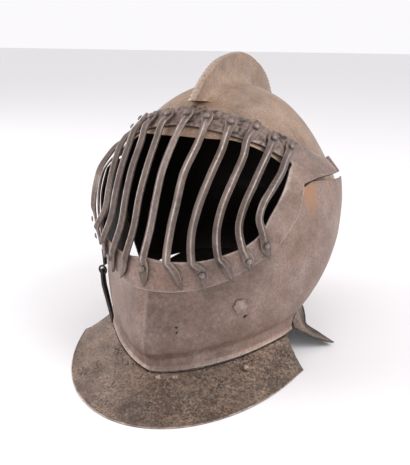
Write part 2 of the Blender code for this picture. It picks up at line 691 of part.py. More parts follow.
def make_bevor(look):
    """Chin and cheek plate with a medial keel and a flared lower edge."""
    cols = 37
    u = np.linspace(-1, 1, cols)
    # upper edge: just under the visor frame's lower band, a slit below its arm
    seam_phi = np.radians(shares(VISOR_ROWS, "edge_turn")[ARM_END:][::-1])
    seam_z = shares(VISOR_ROWS, "edge_z")[ARM_END:][::-1] * SKULL_HEIGHT
    rear_h = shares(BEVOR_REAR, "height") * FACE_HEIGHT
    rear_phi = angle_at(face_form, shares(BEVOR_REAR, "y") * FACE_REAR, rear_h)
    end_phi = math.radians(BEVOR_TOP_TURN)
    rear_phi = rear_phi * end_phi / rear_phi[-1]
    lift = np.where(np.arange(len(seam_z)) < len(seam_z) - 4, BEVOR_UNDER, -BEVOR_TOP_GAP)
    slope = (seam_z[-1] - seam_z[-3]) / (seam_phi[-1] - seam_phi[-3])
    keys = np.append(seam_phi, end_phi)
    tops = np.append(seam_z + lift, seam_z[-1] - BEVOR_TOP_GAP + slope * (end_phi - seam_phi[-1]))
    top_phi = np.abs(u) * end_phi
    top_z = smooth(keys, tops, top_phi)
    top_h = np.zeros(cols)
    for _ in range(12):
        top_h = top_h + (top_z - face_form(top_phi, top_h)[..., 2])
    rise = np.array([0.0, 0.028, 0.07, 0.13, 0.23, 0.36, 0.52, 0.68, 0.84, 1.0])
    h = rise[:, None] * top_h[None, :]
    phi = u[None, :] * smooth(rear_h, rear_phi, h)
    outer = face_form(phi, h)
    inner = offset(face_form, phi, h, -BEVOR_WALL)
    verts, faces = shell(outer, inner)
    plate = add("bevor", verts, faces, look)
    for turn, z, r in BEVOR_HOLES[1:]:
        p, n = face_point(turn, z * SKULL_HEIGHT, -BEVOR_WALL / 2)
        boolean(plate, drill("hole", p, n, BEVOR_HOLE * r, BEVOR_WALL * 4, look, 8), "DIFFERENCE")
    return plate


def rim_front(phi):
    """Rim of the front gorget plate on the floor."""
    y = RIM_CENTRE_Y - RIM_FRONT * np.cos(phi)
    x = RIM_HALF_WIDTH * np.sin(phi) + RIM_SKEW * np.clip(-y - 0.3 * FACE_FRONT, 0, None)
    return np.stack([x, y, 0 * x], -1)


def neck_edge(phi):
    """Outer lower edge of the bevor."""
    return face_form(phi, np.zeros_like(phi))


def corner_angle(curve, y):
    """Angle at which a plan curve reaches y."""
    low, high = 0.0, math.pi
    for _ in range(40):
        mid = 0.5 * (low + high)
        low, high = (mid, high) if curve(np.array([mid]))[0, 1] < y else (low, mid)
    return 0.5 * (low + high)


def thicken(grid, wall):
    """The grid moved inward along its normals; rows run outward from the neck."""
    along = np.gradient(grid, axis=1)
    down = np.gradient(grid, axis=0)
    n = np.cross(along, down)
    n /= np.maximum(np.linalg.norm(n, axis=-1, keepdims=True), 1e-12)
    n *= np.where(n[..., 2:] < 0, -1, 1)
    return grid - n * wall


def flare(name, edge, inset, rim, dish, look):
    """Gorget plate from a tucked upper edge out to its rim."""
    rows = [inset, edge]
    for v in (0.28, 0.55, 0.80, 1.0):
        p = edge * (1 - v) + rim * v
        p[:, 2] = rim[:, 2] + (edge[:, 2] - rim[:, 2]) * (1 - v) ** dish
        rows.append(p)
    outer = np.array(rows)
    outer[2:, :, 2] += GORGET_WALL * np.linspace(0.1, 0.6, 4)[:, None]
    inner = thicken(outer, GORGET_WALL)
    inner[-1] = rim
    inner[..., 2] = np.maximum(inner[..., 2], rim[:, 2])
    verts, faces = shell(outer, inner)
    return add(name, verts, faces, look)


def make_gorget_front(look):
    """Front plate: broad flare under the chin, its ends cut off beside the neck."""
    u = np.linspace(-1, 1, 33)
    top, low = (np.where(u < 0, u * corner_angle(curve, GORGET_RIGHT_END[k]),
                         u * corner_angle(curve, GORGET_LEFT_END[k]))
                for k, curve in enumerate((neck_edge, rim_front)))
    edge = neck_edge(top)
    edge[:, 2] -= GORGET_DROP
    away = np.stack([np.sin(top), -np.cos(top), 0 * top], -1)
    inset = edge - away * GORGET_TUCK
    inset[:, 2] -= GAP
    rim = rim_front(low)
    plate = flare("gorget_front", edge, inset, rim, np.full(len(u), GORGET_FRONT_DISH), look)
    for k, (turn, out) in enumerate(GORGET_RIVETS[1:]):
        a = math.radians(turn)
        ends = [neck_edge(np.array([a]))[0], rim_front(np.array([a]))[0]]
        p = ends[0] * (1 - out) + ends[1] * out
        p[2] = ends[0][2] * (1 - out) ** GORGET_FRONT_DISH + GORGET_WALL * 0.1
        e = ends[1] - ends[0]
        e[2] = -GORGET_FRONT_DISH * ends[0][2]
        n = np.cross(np.array([math.cos(a), math.sin(a), 0.0]), e)
        n = n / np.linalg.norm(n) * np.sign(n[2])
        make_rivet("rivet_gorget_%d" % (k + 1), p + n * GAP * 2, n, RIVET_RADIUS, RIVET_RISE,
                   look)
    return plate


def make_gorget_rear(look):
    """Rear plate: a narrow flare round the nape with a pointed wing at each front corner."""
    u = np.linspace(-1, 1, 29)
    top = np.stack([shares(REAR_TOP, "x") * REAR_TIP_X, shares(REAR_TOP, "y") * REAR_REACH,
                    shares(REAR_TOP, "z") * SKULL_FOOT], -1)
    edge = through(top, 1 - np.abs(u)) * np.stack([np.sign(u), 0 * u + 1, 0 * u + 1], -1)
    edge[len(u) // 2, 0] = 0.0
    away = edge - np.array([0.0, 0.35 * REAR_REACH, 0.0])
    away[:, 2] = 0.0
    away /= np.linalg.norm(away, axis=1, keepdims=True)
    inset = edge - away * GORGET_TUCK
    inset[:, 2] -= GAP
    points = np.stack([shares(REAR_RIM, "x") * REAR_TIP_X, shares(REAR_RIM, "y") * REAR_REACH], -1)
    plan = through(points, 1 - np.abs(u))
    lift = REAR_TIP_LIFT * np.clip(1 - (1 - np.abs(u)) / 0.3, 0, 1)
    rim = np.stack([plan[:, 0] * np.sign(u), plan[:, 1], lift], -1)
    wing = np.clip(1 - (1 - np.abs(u)) / 0.2, 0, 1)
    dish = GORGET_REAR_DISH * (1 - wing) + GORGET_FRONT_DISH * wing
    return flare("gorget_rear", edge, inset, rim, dish, look)


def grille_point(x, z):
    """Front of the grille at lateral x and height z, with its outward normal."""
    def at(x, z):
        up = shares(GRILLE_ROWS, "height") * SKULL_HEIGHT
        ahead, width, power = (smooth(up, shares(GRILLE_ROWS, k), z)
                               for k in ("front", "width", "power"))
        front = -ahead * GRILLE_REACH
        q = np.clip(np.abs(x) / (width * GRILLE_HALF_WIDTH), 0, 0.999)
        centre = 0.256 * FACE_REAR
        return np.array([x, centre - (centre - front) * (1 - q ** power) ** (1 / power), z])
    e = 1e-4
    p = at(x, z)
    n = np.cross(at(x + e, z) - at(x - e, z), at(x, z + e) - at(x, z - e))
    n /= np.linalg.norm(n)
    return p, n if n[1] < 0 else -n


def visor_point(x, z, distance):
    """Point on a layer over the visor form that has lateral place x and height z, and normal."""
    seek_x, seek_z = abs(x), z
    turns = np.linspace(0.0, math.radians(100.0), 240)
    for _ in range(6):
        zs = np.array([seek_z])
        places = visor_form(turns, np.full_like(turns, seek_z))[:, 0]
        last = int(places.argmax()) + 1
        phi = np.array([float(np.interp(seek_x, places[:last], turns[:last]))])
        p = offset(visor_form, phi, zs, distance)[0]
        seek_x, seek_z = max(seek_x + abs(x) - p[0], 0.0), seek_z + z - p[2]
    n = p - offset(visor_form, phi, zs, distance - 1e-3)[0]
    n /= np.linalg.norm(n)
    side = 1 if x >= 0 else -1
    return p * np.array([side, 1, 1]), n * np.array([side, 1, 1])


def bar_path(row):
    """Knots of a bar's ridge line: point, normal, width, depth and how flat it is there."""
    names = BAR_ROWS[0]
    x = {k: row[names.index(k)] * GRILLE_HALF_WIDTH for k in names[:9]}
    z = {k: row[names.index(k)] * SKULL_HEIGHT for k in names[9:]}
    seat = VISOR_CLEARANCE + VISOR_WALL + LEAF_SEAT
    leaf, bar = LEAF_DEPTH, BAR_DEPTH
    over = seat + bar + BAR_STANDOFF

    def on_frame(x, z, height, width, depth, flat):
        return (*visor_point(x, z, height), width, depth, flat)

    def on_grille(x, z, width, depth):
        """On the grille form, or over the frame where a bar runs close along its window."""
        free, clear = grille_point(x, z), visor_point(x, z, over)
        near = x > GRILLE_HUG * GRILLE_HALF_WIDTH and clear[0][1] < free[0][1]
        return (*(clear if near else free), width, depth, 0.0)

    drop = z["brow_z"] - z["sill_z"]
    lean = x["top"] - x["brow"]
    top, low, tip = z["top_z"], z["low_z"], z["tip_z"]
    knots = [
        on_frame(x["top"] + lean * 0.2, top + LEAF_END, seat + leaf, LEAF_WIDTH * 0.55, leaf, 1.0),
        on_frame(x["top"] + lean * 0.1, top + LEAF_END * 0.5, seat + leaf, LEAF_WIDTH * 0.90,
                 leaf, 1.0),
        on_frame(x["top"], top, seat + leaf, LEAF_WIDTH, leaf, 1.0),
        on_frame(x["top"] - lean * 0.35, top * 0.65 + z["brow_z"] * 0.35, seat + leaf * 1.15,
                 LEAF_WIDTH * 0.88, leaf * 1.1, 0.8),
        on_frame(x["brow"], z["brow_z"], over, BAR_WIDTH * 1.02, bar, 0.1),
    ]
    for share, name in zip(RUN_PLACES, ("upper", "middle", "bulge", "foot")):
        knots.append(on_grille(x[name], z["brow_z"] - drop * share, BAR_WIDTH, bar))
    tail = z["sill_z"] - low
    knots += [
        on_frame(x["sill"], z["sill_z"], over - BAR_STANDOFF * 0.5, BAR_WIDTH, bar, 0.1),
        on_frame(x["sill"] * 0.5 + x["low"] * 0.5, low + tail * 0.5, seat + leaf * 1.4,
                 LEAF_WIDTH * 0.80, leaf * 1.35, 0.5),
        on_frame(x["low"], low, seat + leaf, LEAF_WIDTH * 0.95, leaf, 1.0),
        on_frame(x["low"] * 0.55 + x["tip"] * 0.45, low * 0.5 + tip * 0.5, seat + leaf,
                 LEAF_WIDTH * 0.66, leaf, 1.0),
        on_frame(x["tip"], tip, seat + leaf * 0.9, LEAF_WIDTH * 0.18, leaf * 0.85, 1.0),
    ]
    return knots


def sweep(line, normal, sections):
    """Vertices and faces of a bar whose section at each station is a list of (across, up)."""
    tangent = np.gradient(line, axis=0)
    tangent /= np.linalg.norm(tangent, axis=1, keepdims=True)
    normal = normal - tangent * (normal * tangent).sum(1, keepdims=True)
    normal /= np.linalg.norm(normal, axis=1, keepdims=True)
    across = np.cross(tangent, normal)
    verts = [p + a * q + n * r for p, a, n, ring in zip(line, across, normal, sections)
             for q, r in ring]
    n, m = len(line), len(sections[0])
    faces = [[i * m + j, i * m + (j + 1) % m, (i + 1) * m + (j + 1) % m, (i + 1) * m + j]
             for i in range(n - 1) for j in range(m)]
    faces += [list(range(m))[::-1], [(n - 1) * m + j for j in range(m)]]
    return np.array(verts), faces


def make_bar(index, side, look):
    """One forged bar: flat leaf, ridged run, flat leaf with a pointed tip, and its rivets."""
    knots = bar_path(BAR_ROWS[1 + index])
    flip = np.array([side, 1, 1])
    line = np.array([k[0] for k in knots]) * flip
    normal = np.array([k[1] for k in knots]) * flip
    size = np.array([k[2:] for k in knots])
    s = np.concatenate([[0], np.cumsum(np.linalg.norm(np.diff(line, axis=0), axis=1))])
    s /= s[-1]
    t = np.sort(np.concatenate([s, 0.5 * (s[4:9] + s[5:10])]))
    size_t = np.stack([smooth(s, size[:, k], t) for k in range(3)], -1)
    normal_t = np.stack([smooth(s, normal[:, k], t) for k in range(3)], -1)
    sections = []
    for width, depth, flat in size_t:
        shoulder = -depth * (0.58 * (1 - flat) + 0.14 * flat)
        sections.append([(-width / 2, -depth), (-width / 2, shoulder), (0.0, 0.0),
                         (width / 2, shoulder), (width / 2, -depth)])
    verts, faces = sweep(through(line, t), normal_t, sections)
    tag = "middle" if index == 0 else ("left_%d" if side > 0 else "right_%d") % index
    add("bar_" + tag, verts, faces, look, 30)
    places = [("top", 2)] if index in FLUSH_LOWER else [("top", 2), ("low", 11)]
    for end, k in places:
        make_rivet("rivet_%s_%s" % (end, tag), line[k], normal[k], RIVET_RADIUS, RIVET_RISE, look)


def make_rivet(name, seat, normal, radius, rise, look, sides=8):
    """Domed rivet head standing on a surface."""
    nn = np.asarray(normal, float) / np.linalg.norm(normal)
    u = np.cross(nn, (0.0, 0.0, 1.0))
    u /= np.linalg.norm(u)
    v = np.cross(nn, u)
    base = np.asarray(seat, float) + nn * RIVET_SEAT
    verts = []
    for r, h in ((1.0, 0.0), (0.92, 0.35), (0.62, 0.80)):
        for a in np.arange(sides) * 2 * math.pi / sides:
            verts.append(base + (u * math.cos(a) + v * math.sin(a)) * radius * r + nn * rise * h)
    verts.append(base + nn * rise)
    faces = [list(range(sides))[::-1]]
    for k in range(2):
        faces += [[k * sides + i, k * sides + (i + 1) % sides, (k + 1) * sides + (i + 1) % sides,
                   (k + 1) * sides + i] for i in range(sides)]
    faces += [[2 * sides + i, 2 * sides + (i + 1) % sides, 3 * sides] for i in range(sides)]
    add(name, verts, faces, look, 50)


def make_rosette(look):
    """Six-lobed rivet head on the wearer's left cheek."""
    p, n = face_point(ROSETTE_TURN, ROSETTE_Z * SKULL_HEIGHT, GAP)
    u = np.cross(n, (0.0, 0.0, 1.0))
    u /= np.linalg.norm(u)
    v = np.cross(n, u)
    sides = 12
    verts = []
    for r, h in ((1.0, 0.0), (0.95, 0.55), (0.52, 0.62), (0.40, 0.90)):
        for i in range(sides):
            a = i * 2 * math.pi / sides
            lobe = 1.0 if i % 2 == 0 or r < 0.6 else 0.86
            verts.append(p + (u * math.cos(a) + v * math.sin(a)) * ROSETTE_RADIUS * r * lobe
                         + n * ROSETTE_RISE * h)
    verts.append(p + n * ROSETTE_RISE)
    faces = [list(range(sides))[::-1]]
    for k in range(3):
        faces += [[k * sides + i, k * sides + (i + 1) % sides, (k + 1) * sides + (i + 1) % sides,
                   (k + 1) * sides + i] for i in range(sides)]
    faces += [[3 * sides + i, 3 * sides + (i + 1) % sides, 4 * sides] for i in range(sides)]
    add("rosette", verts, faces, look, 30)


def make_barrel(side, look):
    """Hinge barrel of three knuckles standing behind the arm's end."""
    phi, z = np.array([math.radians(BARREL_TURN)]), np.array([BARREL_Z * SKULL_HEIGHT])
    up = BARREL_LENGTH / 2
    ends = [offset(visor_form, phi, z + k * up, GAP)[0]
            for k in (-1, 1)]
    line, normal, sections = [], [], []
    profile = ((0.0, 0.75), (0.04, 1.0), (0.30, 1.0), (0.325, 1 - BARREL_GROOVE / BARREL_RADIUS),
               (0.35, 1.0), (0.65, 1.0), (0.675, 1 - BARREL_GROOVE / BARREL_RADIUS), (0.70, 1.0),
               (0.96, 1.0), (1.0, 0.75))
    for t, r in profile:
        line.append((ends[0] * (1 - t) + ends[1] * t) * np.array([side, 1, 1]))
        normal.append((0.0, 1.0, 0.0))
        sections.append([(BARREL_RADIUS * r * math.cos(a), BARREL_RADIUS * r * math.sin(a))
                         for a in np.arange(8) * math.pi / 4])
    verts, faces = sweep(np.array(line), np.array(normal), sections)
    add("temple_barrel_left" if side > 0 else "temple_barrel_right", verts, faces, look, 40)


def right_cheek(y, z, out):
    """Point outside the bevor on the wearer's right, at depth y, height z and distance out."""
    zs = np.array([z])
    phi = angle_at(face_at, np.array([y]), zs)
    return face_at(phi, zs)[0] * np.array([-1, 1, 1]) - np.array([out, 0, 0])


def make_hook(strap_look, hook_look):
    """Strap ending in a ring, and the hook that hangs from the ring on a pin along Y."""
    ring_centre = right_cheek(HOOK_Y, HOOK_RING_Z, HOOK_RING_STANDOFF)
    # strap against the bevor, then out to the ring
    half = STRAP_THICKNESS / 2
    path = [right_cheek(HOOK_Y, STRAP_TOP_Z, half + STRAP_SEAT),
            right_cheek(HOOK_Y, STRAP_TOP_Z * 0.6 + HOOK_RING_Z * 0.4, half + STRAP_SEAT),
            right_cheek(HOOK_Y, STRAP_TOP_Z * 0.3 + HOOK_RING_Z * 0.7, half + STRAP_SEAT),
            ring_centre + np.array([0.0, 0.0, HOOK_RING_RADIUS])]
    box = [(-STRAP_WIDTH / 2, -half), (-STRAP_WIDTH / 2, half), (STRAP_WIDTH / 2, half),
           (STRAP_WIDTH / 2, -half)]
    small = [(a * 0.45, b * 0.8) for a, b in box]
    verts, faces = sweep(np.array(path), np.array([[-1.0, 0, 0]] * 4), [box, box, box, small])
    strap = add("hook_strap", verts, faces, strap_look, 40)
    around, wire = 16, 6
    a = np.arange(around) * 2 * math.pi / around
    b = np.arange(wire) * 2 * math.pi / wire
    verts = [ring_centre + np.array([
        (HOOK_RING_RADIUS + HOOK_RING_WIRE * math.cos(q)) * math.sin(p),
        HOOK_RING_WIRE * math.sin(q),
        (HOOK_RING_RADIUS + HOOK_RING_WIRE * math.cos(q)) * math.cos(p)]) for p in a for q in b]
    faces = [[i * wire + j, i * wire + (j + 1) % wire, (i + 1) % around * wire + (j + 1) % wire,
              (i + 1) % around * wire + j] for i in range(around) for j in range(wire)]
    boolean(strap, add("ring", verts, faces, strap_look), "UNION")

    # hook: flat head with a slot, its upper edge is the pin in the ring, then a tapering arm
    head = HOOK_RING_RADIUS + HOOK_RING_WIRE + GAP + HOOK_THICKNESS
    reach = ring_centre[2] - head
    rows = []
    for y, z, out, width in HOOK_ROWS[1:]:
        height = min(z * HOOK_RING_Z, reach)
        rows.append((right_cheek(y * HOOK_RING_Z, height, out * HOOK_RING_STANDOFF),
                     width * STRAP_WIDTH))
    wide = HOOK_SLOT_HALF * 2 + HOOK_THICKNESS
    pin = HOOK_THICKNESS * 0.5
    path = [ring_centre + np.array([0, 0, pin]), ring_centre - np.array([0, 0, pin])]
    widths = [wide, wide]
    for p, w in rows:
        path.append(p)
        widths.append(w)
    path[2] = ring_centre - np.array([0, 0, head])
    widths[2] = wide * 0.95
    half = HOOK_THICKNESS / 2
    sections = [[(-w / 2, -half), (-w / 2, half), (w / 2, half), (w / 2, -half)] for w in widths]
    sections[-1] = [(q * 0.7, r * 0.5) for q, r in sections[-1]]
    verts, faces = sweep(np.array(path), np.array([[-1.0, 0, 0]] * len(path)), sections)
    hook = add("hook", verts, faces, hook_look, 40)
    low, high = -(HOOK_RING_RADIUS + HOOK_RING_WIRE + GAP * 1.5), -pin
    corner = [(sx, sy, sz) for sx in (-1, 1) for sy in (-1, 1) for sz in (low, high)]
    verts = [ring_centre + np.array([sx * HOOK_THICKNESS * 2, sy * HOOK_SLOT_HALF, sz])
             for sx, sy, sz in corner]
    faces = [[0, 1, 3, 2], [4, 6, 7, 5], [0, 4, 5, 1], [2, 3, 7, 6], [0, 2, 6, 4], [1, 5, 7, 3]]
    boolean(hook, add("slot", verts, faces, hook_look), "DIFFERENCE")
    return ring_centre


def settle(pin):
    """Stand the helmet on the floor with its bounding box centred, the hook on its pin."""
    things = [thing for thing in bpy.data.objects if thing.type == "MESH"]
    points = np.array([tuple(v.co) for thing in things for v in thing.data.vertices])
    low, high = points.min(0), points.max(0)
    move = -np.array([(low[0] + high[0]) / 2, (low[1] + high[1]) / 2, low[2]])
    root = bpy.data.objects.new("helmet", None)
    bpy.context.scene.collection.objects.link(root)
    for thing in things:
        own = pin if thing.name == "hook" else np.zeros(3)
        for v in thing.data.vertices:
            v.co = tuple(np.array(v.co) - own)
        thing.location = tuple(own + move)
        thing.parent = root
    print("moved by", move, "pin at", pin + move)


def main():
    clear_scene()
    iron = material("brown_iron", (0.20, 0.13, 0.10), 0.55, 0.85)
    worn = material("worn_iron", (0.30, 0.25, 0.22), 0.42, 0.95)
    golden = material("golden_iron", (0.26, 0.18, 0.12), 0.50, 0.85)
    pitted = material("pitted_iron", (0.19, 0.14, 0.12), 0.62, 0.80)
    black = material("black_iron", (0.05, 0.04, 0.035), 0.60, 0.80)
    make_skull(golden)
    make_visor(iron)
    make_bevor(iron)
    make_gorget_front(pitted)
    make_gorget_rear(pitted)
    for index in range(len(BAR_ROWS) - 1):
        for side in ((1,) if index == 0 else (1, -1)):
            make_bar(index, side, worn)
    make_rosette(iron)
    for side in (1, -1):
        make_barrel(side, iron)
    settle(make_hook(iron, black))


main()
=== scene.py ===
# %% [markdown]
# This scene dresses a close helmet with a barred face. On the real object every plate is iron
# sheet, raised by hammer over a stake. The plates here are written as surfaces, so that the
# hammering, the pits and the worn edges can be real geometry and not only paint.

import math

import bmesh
import bpy
import numpy as np
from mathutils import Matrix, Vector


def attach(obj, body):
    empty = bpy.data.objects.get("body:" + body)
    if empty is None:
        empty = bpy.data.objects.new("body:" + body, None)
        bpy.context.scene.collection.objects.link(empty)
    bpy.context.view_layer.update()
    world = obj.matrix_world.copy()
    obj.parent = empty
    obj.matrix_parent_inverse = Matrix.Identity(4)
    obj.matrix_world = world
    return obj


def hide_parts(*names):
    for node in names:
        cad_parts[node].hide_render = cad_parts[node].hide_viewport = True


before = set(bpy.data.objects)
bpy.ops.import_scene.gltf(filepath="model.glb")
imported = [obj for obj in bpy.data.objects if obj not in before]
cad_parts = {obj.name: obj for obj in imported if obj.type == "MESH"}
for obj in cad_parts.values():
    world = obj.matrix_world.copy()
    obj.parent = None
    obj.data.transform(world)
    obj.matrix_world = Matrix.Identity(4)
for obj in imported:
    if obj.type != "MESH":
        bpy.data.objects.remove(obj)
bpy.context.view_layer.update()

# %% [markdown]
# The plates follow two forms: a bowl for the skull and a keeled oval for the face. Tables hold
# their sections as shares of named sizes, the same ones that the CAD part uses, so that the
# dressed plates lie where the solids are. A table is easier to check against a photo than a
# list of points.

# %% sizes and tables
SKULL_WALL = 0.0018
VISOR_WALL = 0.0020
VISOR_CLEARANCE = 0.0009    # play between the visor frame and the plates under it
BEVOR_WALL = 0.0018
GORGET_WALL = 0.0016

# skull form: a bowl of oval sections
SKULL_HEIGHT = 0.2450       # crown above the floor, without the comb
SKULL_HALF_WIDTH = 0.1130
SKULL_HALF_LENGTH = 0.1344
SKULL_CENTRE_Y = 0.0578
SKULL_POWER = 2.2           # plan section: 2 is an ellipse, more is squarer
SKULL_FOOT = 0.0450         # height of the skull's lower edge at the nape
# height share of SKULL_HEIGHT, half-width share, length shares forward and back
SKULL_ROWS = [
    ("height", "width", "front", "rear"),
    (0.180, 0.740, 0.62, 0.520),
    (0.220, 0.780, 0.70, 0.580),
    (0.270, 0.840, 0.80, 0.680),
    (0.330, 0.900, 0.92, 0.810),
    (0.400, 0.950, 1.00, 0.920),
    (0.480, 0.975, 0.99, 0.980),
    (0.558, 0.970, 0.965, 0.965),
    (0.622, 0.930, 0.930, 0.930),
    (0.678, 0.865, 0.886, 0.886),
    (0.730, 0.802, 0.836, 0.836),
    (0.794, 0.718, 0.754, 0.754),
    (0.858, 0.616, 0.645, 0.645),
    (0.918, 0.485, 0.504, 0.504),
    (0.961, 0.338, 0.351, 0.351),
    (0.987, 0.196, 0.204, 0.204),
    (1.000, 0.0, 0.0, 0.0),
]

# comb: a hollow blade along the median, with a roped crest
COMB_CREST_HEIGHT = 0.2722  # highest point above the floor
COMB_THICKNESS = 0.0064
COMB_FOOT_SPREAD = 0.0170   # half-width of the fillet at the foot
COMB_WALL = 0.0014
ROPE_PITCH = 0.0052
ROPE_DEPTH = 0.0010
COMB_HUB_HEIGHT = 0.0930    # the comb's stations fan out from this height above the floor
# crest station as shares of SKULL_HALF_LENGTH from SKULL_CENTRE_Y and of COMB_CREST_HEIGHT,
# and the angle in degrees at which the foot of that station leaves the hub, 90 straight up
COMB_CREST = [
    ("y", "z", "foot"),
    (-0.545, 0.8600, 68.6),
    (-0.520, 0.8730, 69.0),
    (-0.485, 0.8875, 69.8),
    (-0.421, 0.9130, 71.6),
    (-0.348, 0.9362, 74.4),
    (-0.243, 0.9642, 79.3),
    (-0.118, 0.9847, 84.8),
    (0.050, 0.9969, 92.0),
    (0.229, 1.0000, 99.5),
    (0.383, 0.9887, 106.0),
    (0.529, 0.9645, 113.0),
    (0.662, 0.9347, 119.6),
    (0.783, 0.8928, 125.7),
    (0.862, 0.8458, 130.7),
    (0.939, 0.7865, 136.0),
    (1.000, 0.7165, 143.0),
    (1.036, 0.6420, 152.0),
    (1.040, 0.5700, 160.4),
    (1.012, 0.4980, 168.3),
]

# neck plane: a tilted plane on which the bevor's lower edge stands
NECK_FRONT_Z = 0.0172
NECK_SLOPE = 0.108
NECK_FRONT_Y = -0.1010

# face form: oval sections measured up from the neck plane
FACE_HALF_WIDTH = 0.1185
FACE_FRONT = 0.1060         # how far the chin reaches forward of the ear line
FACE_REAR = 0.1760          # and how far the form reaches back
FACE_HEIGHT = 0.1500        # from the neck plane to the level of the temples
KEEL_DEPTH = 0.0042
KEEL_HALF_WIDTH = 0.0400
NECK_SKEW = 0.085           # the neck's front leans to the wearer's left, share of its reach
# height share of FACE_HEIGHT, half-width share of FACE_HALF_WIDTH, front share of FACE_FRONT,
# widest station and rear as shares of FACE_REAR, plan power ahead of the widest station,
# keel share and skew share
FACE_ROWS = [
    ("height", "width", "front", "mid", "rear", "power", "keel", "skew"),
    (0.000, 0.823, 0.990, 0.030, 0.690, 1.47, 0.0, 1.00),
    (0.022, 0.802, 0.970, 0.035, 0.680, 1.46, 0.1, 0.90),
    (0.055, 0.802, 0.970, 0.045, 0.690, 1.46, 0.4, 0.75),
    (0.110, 0.845, 0.995, 0.080, 0.740, 1.47, 0.9, 0.40),
    (0.170, 0.893, 0.985, 0.125, 0.785, 1.50, 1.0, 0.10),
    (0.260, 0.943, 0.963, 0.180, 0.850, 1.53, 1.0, 0.00),
    (0.360, 0.978, 0.930, 0.220, 0.910, 1.55, 1.0, 0.00),
    (0.470, 0.996, 0.908, 0.250, 0.960, 1.60, 0.9, 0.00),
    (0.630, 1.000, 0.900, 0.256, 1.000, 1.68, 0.5, 0.00),
    (0.760, 0.985, 0.870, 0.256, 0.990, 1.76, 0.2, 0.00),
    (0.880, 0.940, 0.800, 0.256, 0.970, 1.86, 0.0, 0.00),
    (1.000, 0.855, 0.710, 0.256, 0.940, 2.00, 0.0, 0.00),
    (1.150, 0.780, 0.590, 0.256, 0.900, 2.10, 0.0, 0.00),
]

# visor frame: plan angle in degrees from the face, and height as a share of SKULL_HEIGHT, for
# the window's edge and the frame's outer edge side by side, from the brow round to the chin
VISOR_BLEND_LOW = 0.650     # share of SKULL_HEIGHT below which the frame follows the face form
VISOR_BLEND_HIGH = 0.790    # and above which it follows the skull form
VISOR_ROWS = [
    ("window_turn", "window_z", "edge_turn", "edge_z"),
    (0.0, 0.869, 0.0, 0.9285),
    (7.0, 0.867, 7.0, 0.9265),
    (14.0, 0.862, 14.5, 0.920),
    (26.5, 0.850, 27.0, 0.911),
    (37.5, 0.833, 43.0, 0.892),
    (50.8, 0.807, 58.8, 0.859),
    (60.4, 0.771, 72.6, 0.818),
    (65.8, 0.752, 84.9, 0.769),
    (66.6, 0.738, 90.5, 0.738),
    (64.0, 0.726, 96.0, 0.716),
    (61.0, 0.706, 97.0, 0.671),
    (57.4, 0.679, 87.0, 0.683),
    (53.9, 0.650, 76.0, 0.694),
    (51.7, 0.627, 69.3, 0.684),
    (49.0, 0.597, 65.6, 0.652),
    (46.7, 0.565, 62.4, 0.598),
    (43.9, 0.533, 56.3, 0.532),
    (39.1, 0.505, 50.1, 0.472),
    (35.3, 0.492, 45.1, 0.443),
    (31.6, 0.482, 40.7, 0.420),
    (22.5, 0.466, 33.5, 0.384),
    (12.3, 0.465, 22.7, 0.358),
    (6.0, 0.470, 12.8, 0.353),
    (0.0, 0.476, 0.0, 0.357),
]
ARM_END = 10                # the row at the lower corner of the arm's end
# window of the skull's own face opening, behind the frame's window: y as a share of
# SKULL_HALF_LENGTH from SKULL_CENTRE_Y and z as a share of SKULL_HEIGHT
SKULL_WINDOW = [
    ("y", "z"),
    (-1.300, 0.842), (-0.655, 0.840), (-0.600, 0.832), (-0.540, 0.812), (-0.470, 0.780),
    (-0.405, 0.738), (-0.365, 0.706), (-0.300, 0.660), (-0.200, 0.560), (-0.160, 0.420),
    (-0.200, 0.280), (-0.340, 0.100), (-1.300, 0.100),
]

BARREL_RADIUS = 0.0021

# bars: eleven, the middle one on the median and five each side
BAR_WIDTH = 0.0068
BAR_DEPTH = 0.0048
LEAF_WIDTH = 0.0104
LEAF_DEPTH = 0.0026
LEAF_SEAT = 0.0009          # play under a leaf, whose flat back bridges the curved frame
LEAF_END = 0.0042           # from the top rivet to the leaf's upper end
BAR_STANDOFF = 0.0010       # back of a bar above the frame where it crosses the window's edge
RIVET_RADIUS = 0.0029
RIVET_RISE = 0.0017
RIVET_SEAT = 0.0012         # a head's rim above the ridge of its leaf
GRILLE_HALF_WIDTH = 0.1240
GRILLE_HUG = 0.62           # bars beyond this share lie close over the window's edge
GRILLE_REACH = 0.0994       # the middle bar's ridge at its lower end, ahead of the ear line
# grille form on which the ridges of the bars lie: height as a share of SKULL_HEIGHT, front as
# a share of GRILLE_REACH, half-width as a share of GRILLE_HALF_WIDTH, and the plan power
GRILLE_ROWS = [
    ("height", "front", "width", "power"),
    (0.420, 1.004, 1.000, 1.68),
    (0.457, 0.996, 1.000, 1.68),
    (0.490, 0.986, 1.000, 1.68),
    (0.531, 0.959, 1.000, 1.68),
    (0.571, 0.920, 1.000, 1.68),
    (0.612, 0.876, 0.985, 1.68),
    (0.653, 0.830, 1.016, 1.60),
    (0.694, 0.779, 1.048, 1.50),
    (0.735, 0.726, 1.040, 1.42),
    (0.776, 0.659, 0.990, 1.40),
    (0.816, 0.563, 0.930, 1.38),
    (0.849, 0.475, 0.871, 1.40),
    (0.878, 0.379, 0.830, 1.45),
    (0.906, 0.272, 0.775, 1.60),
]
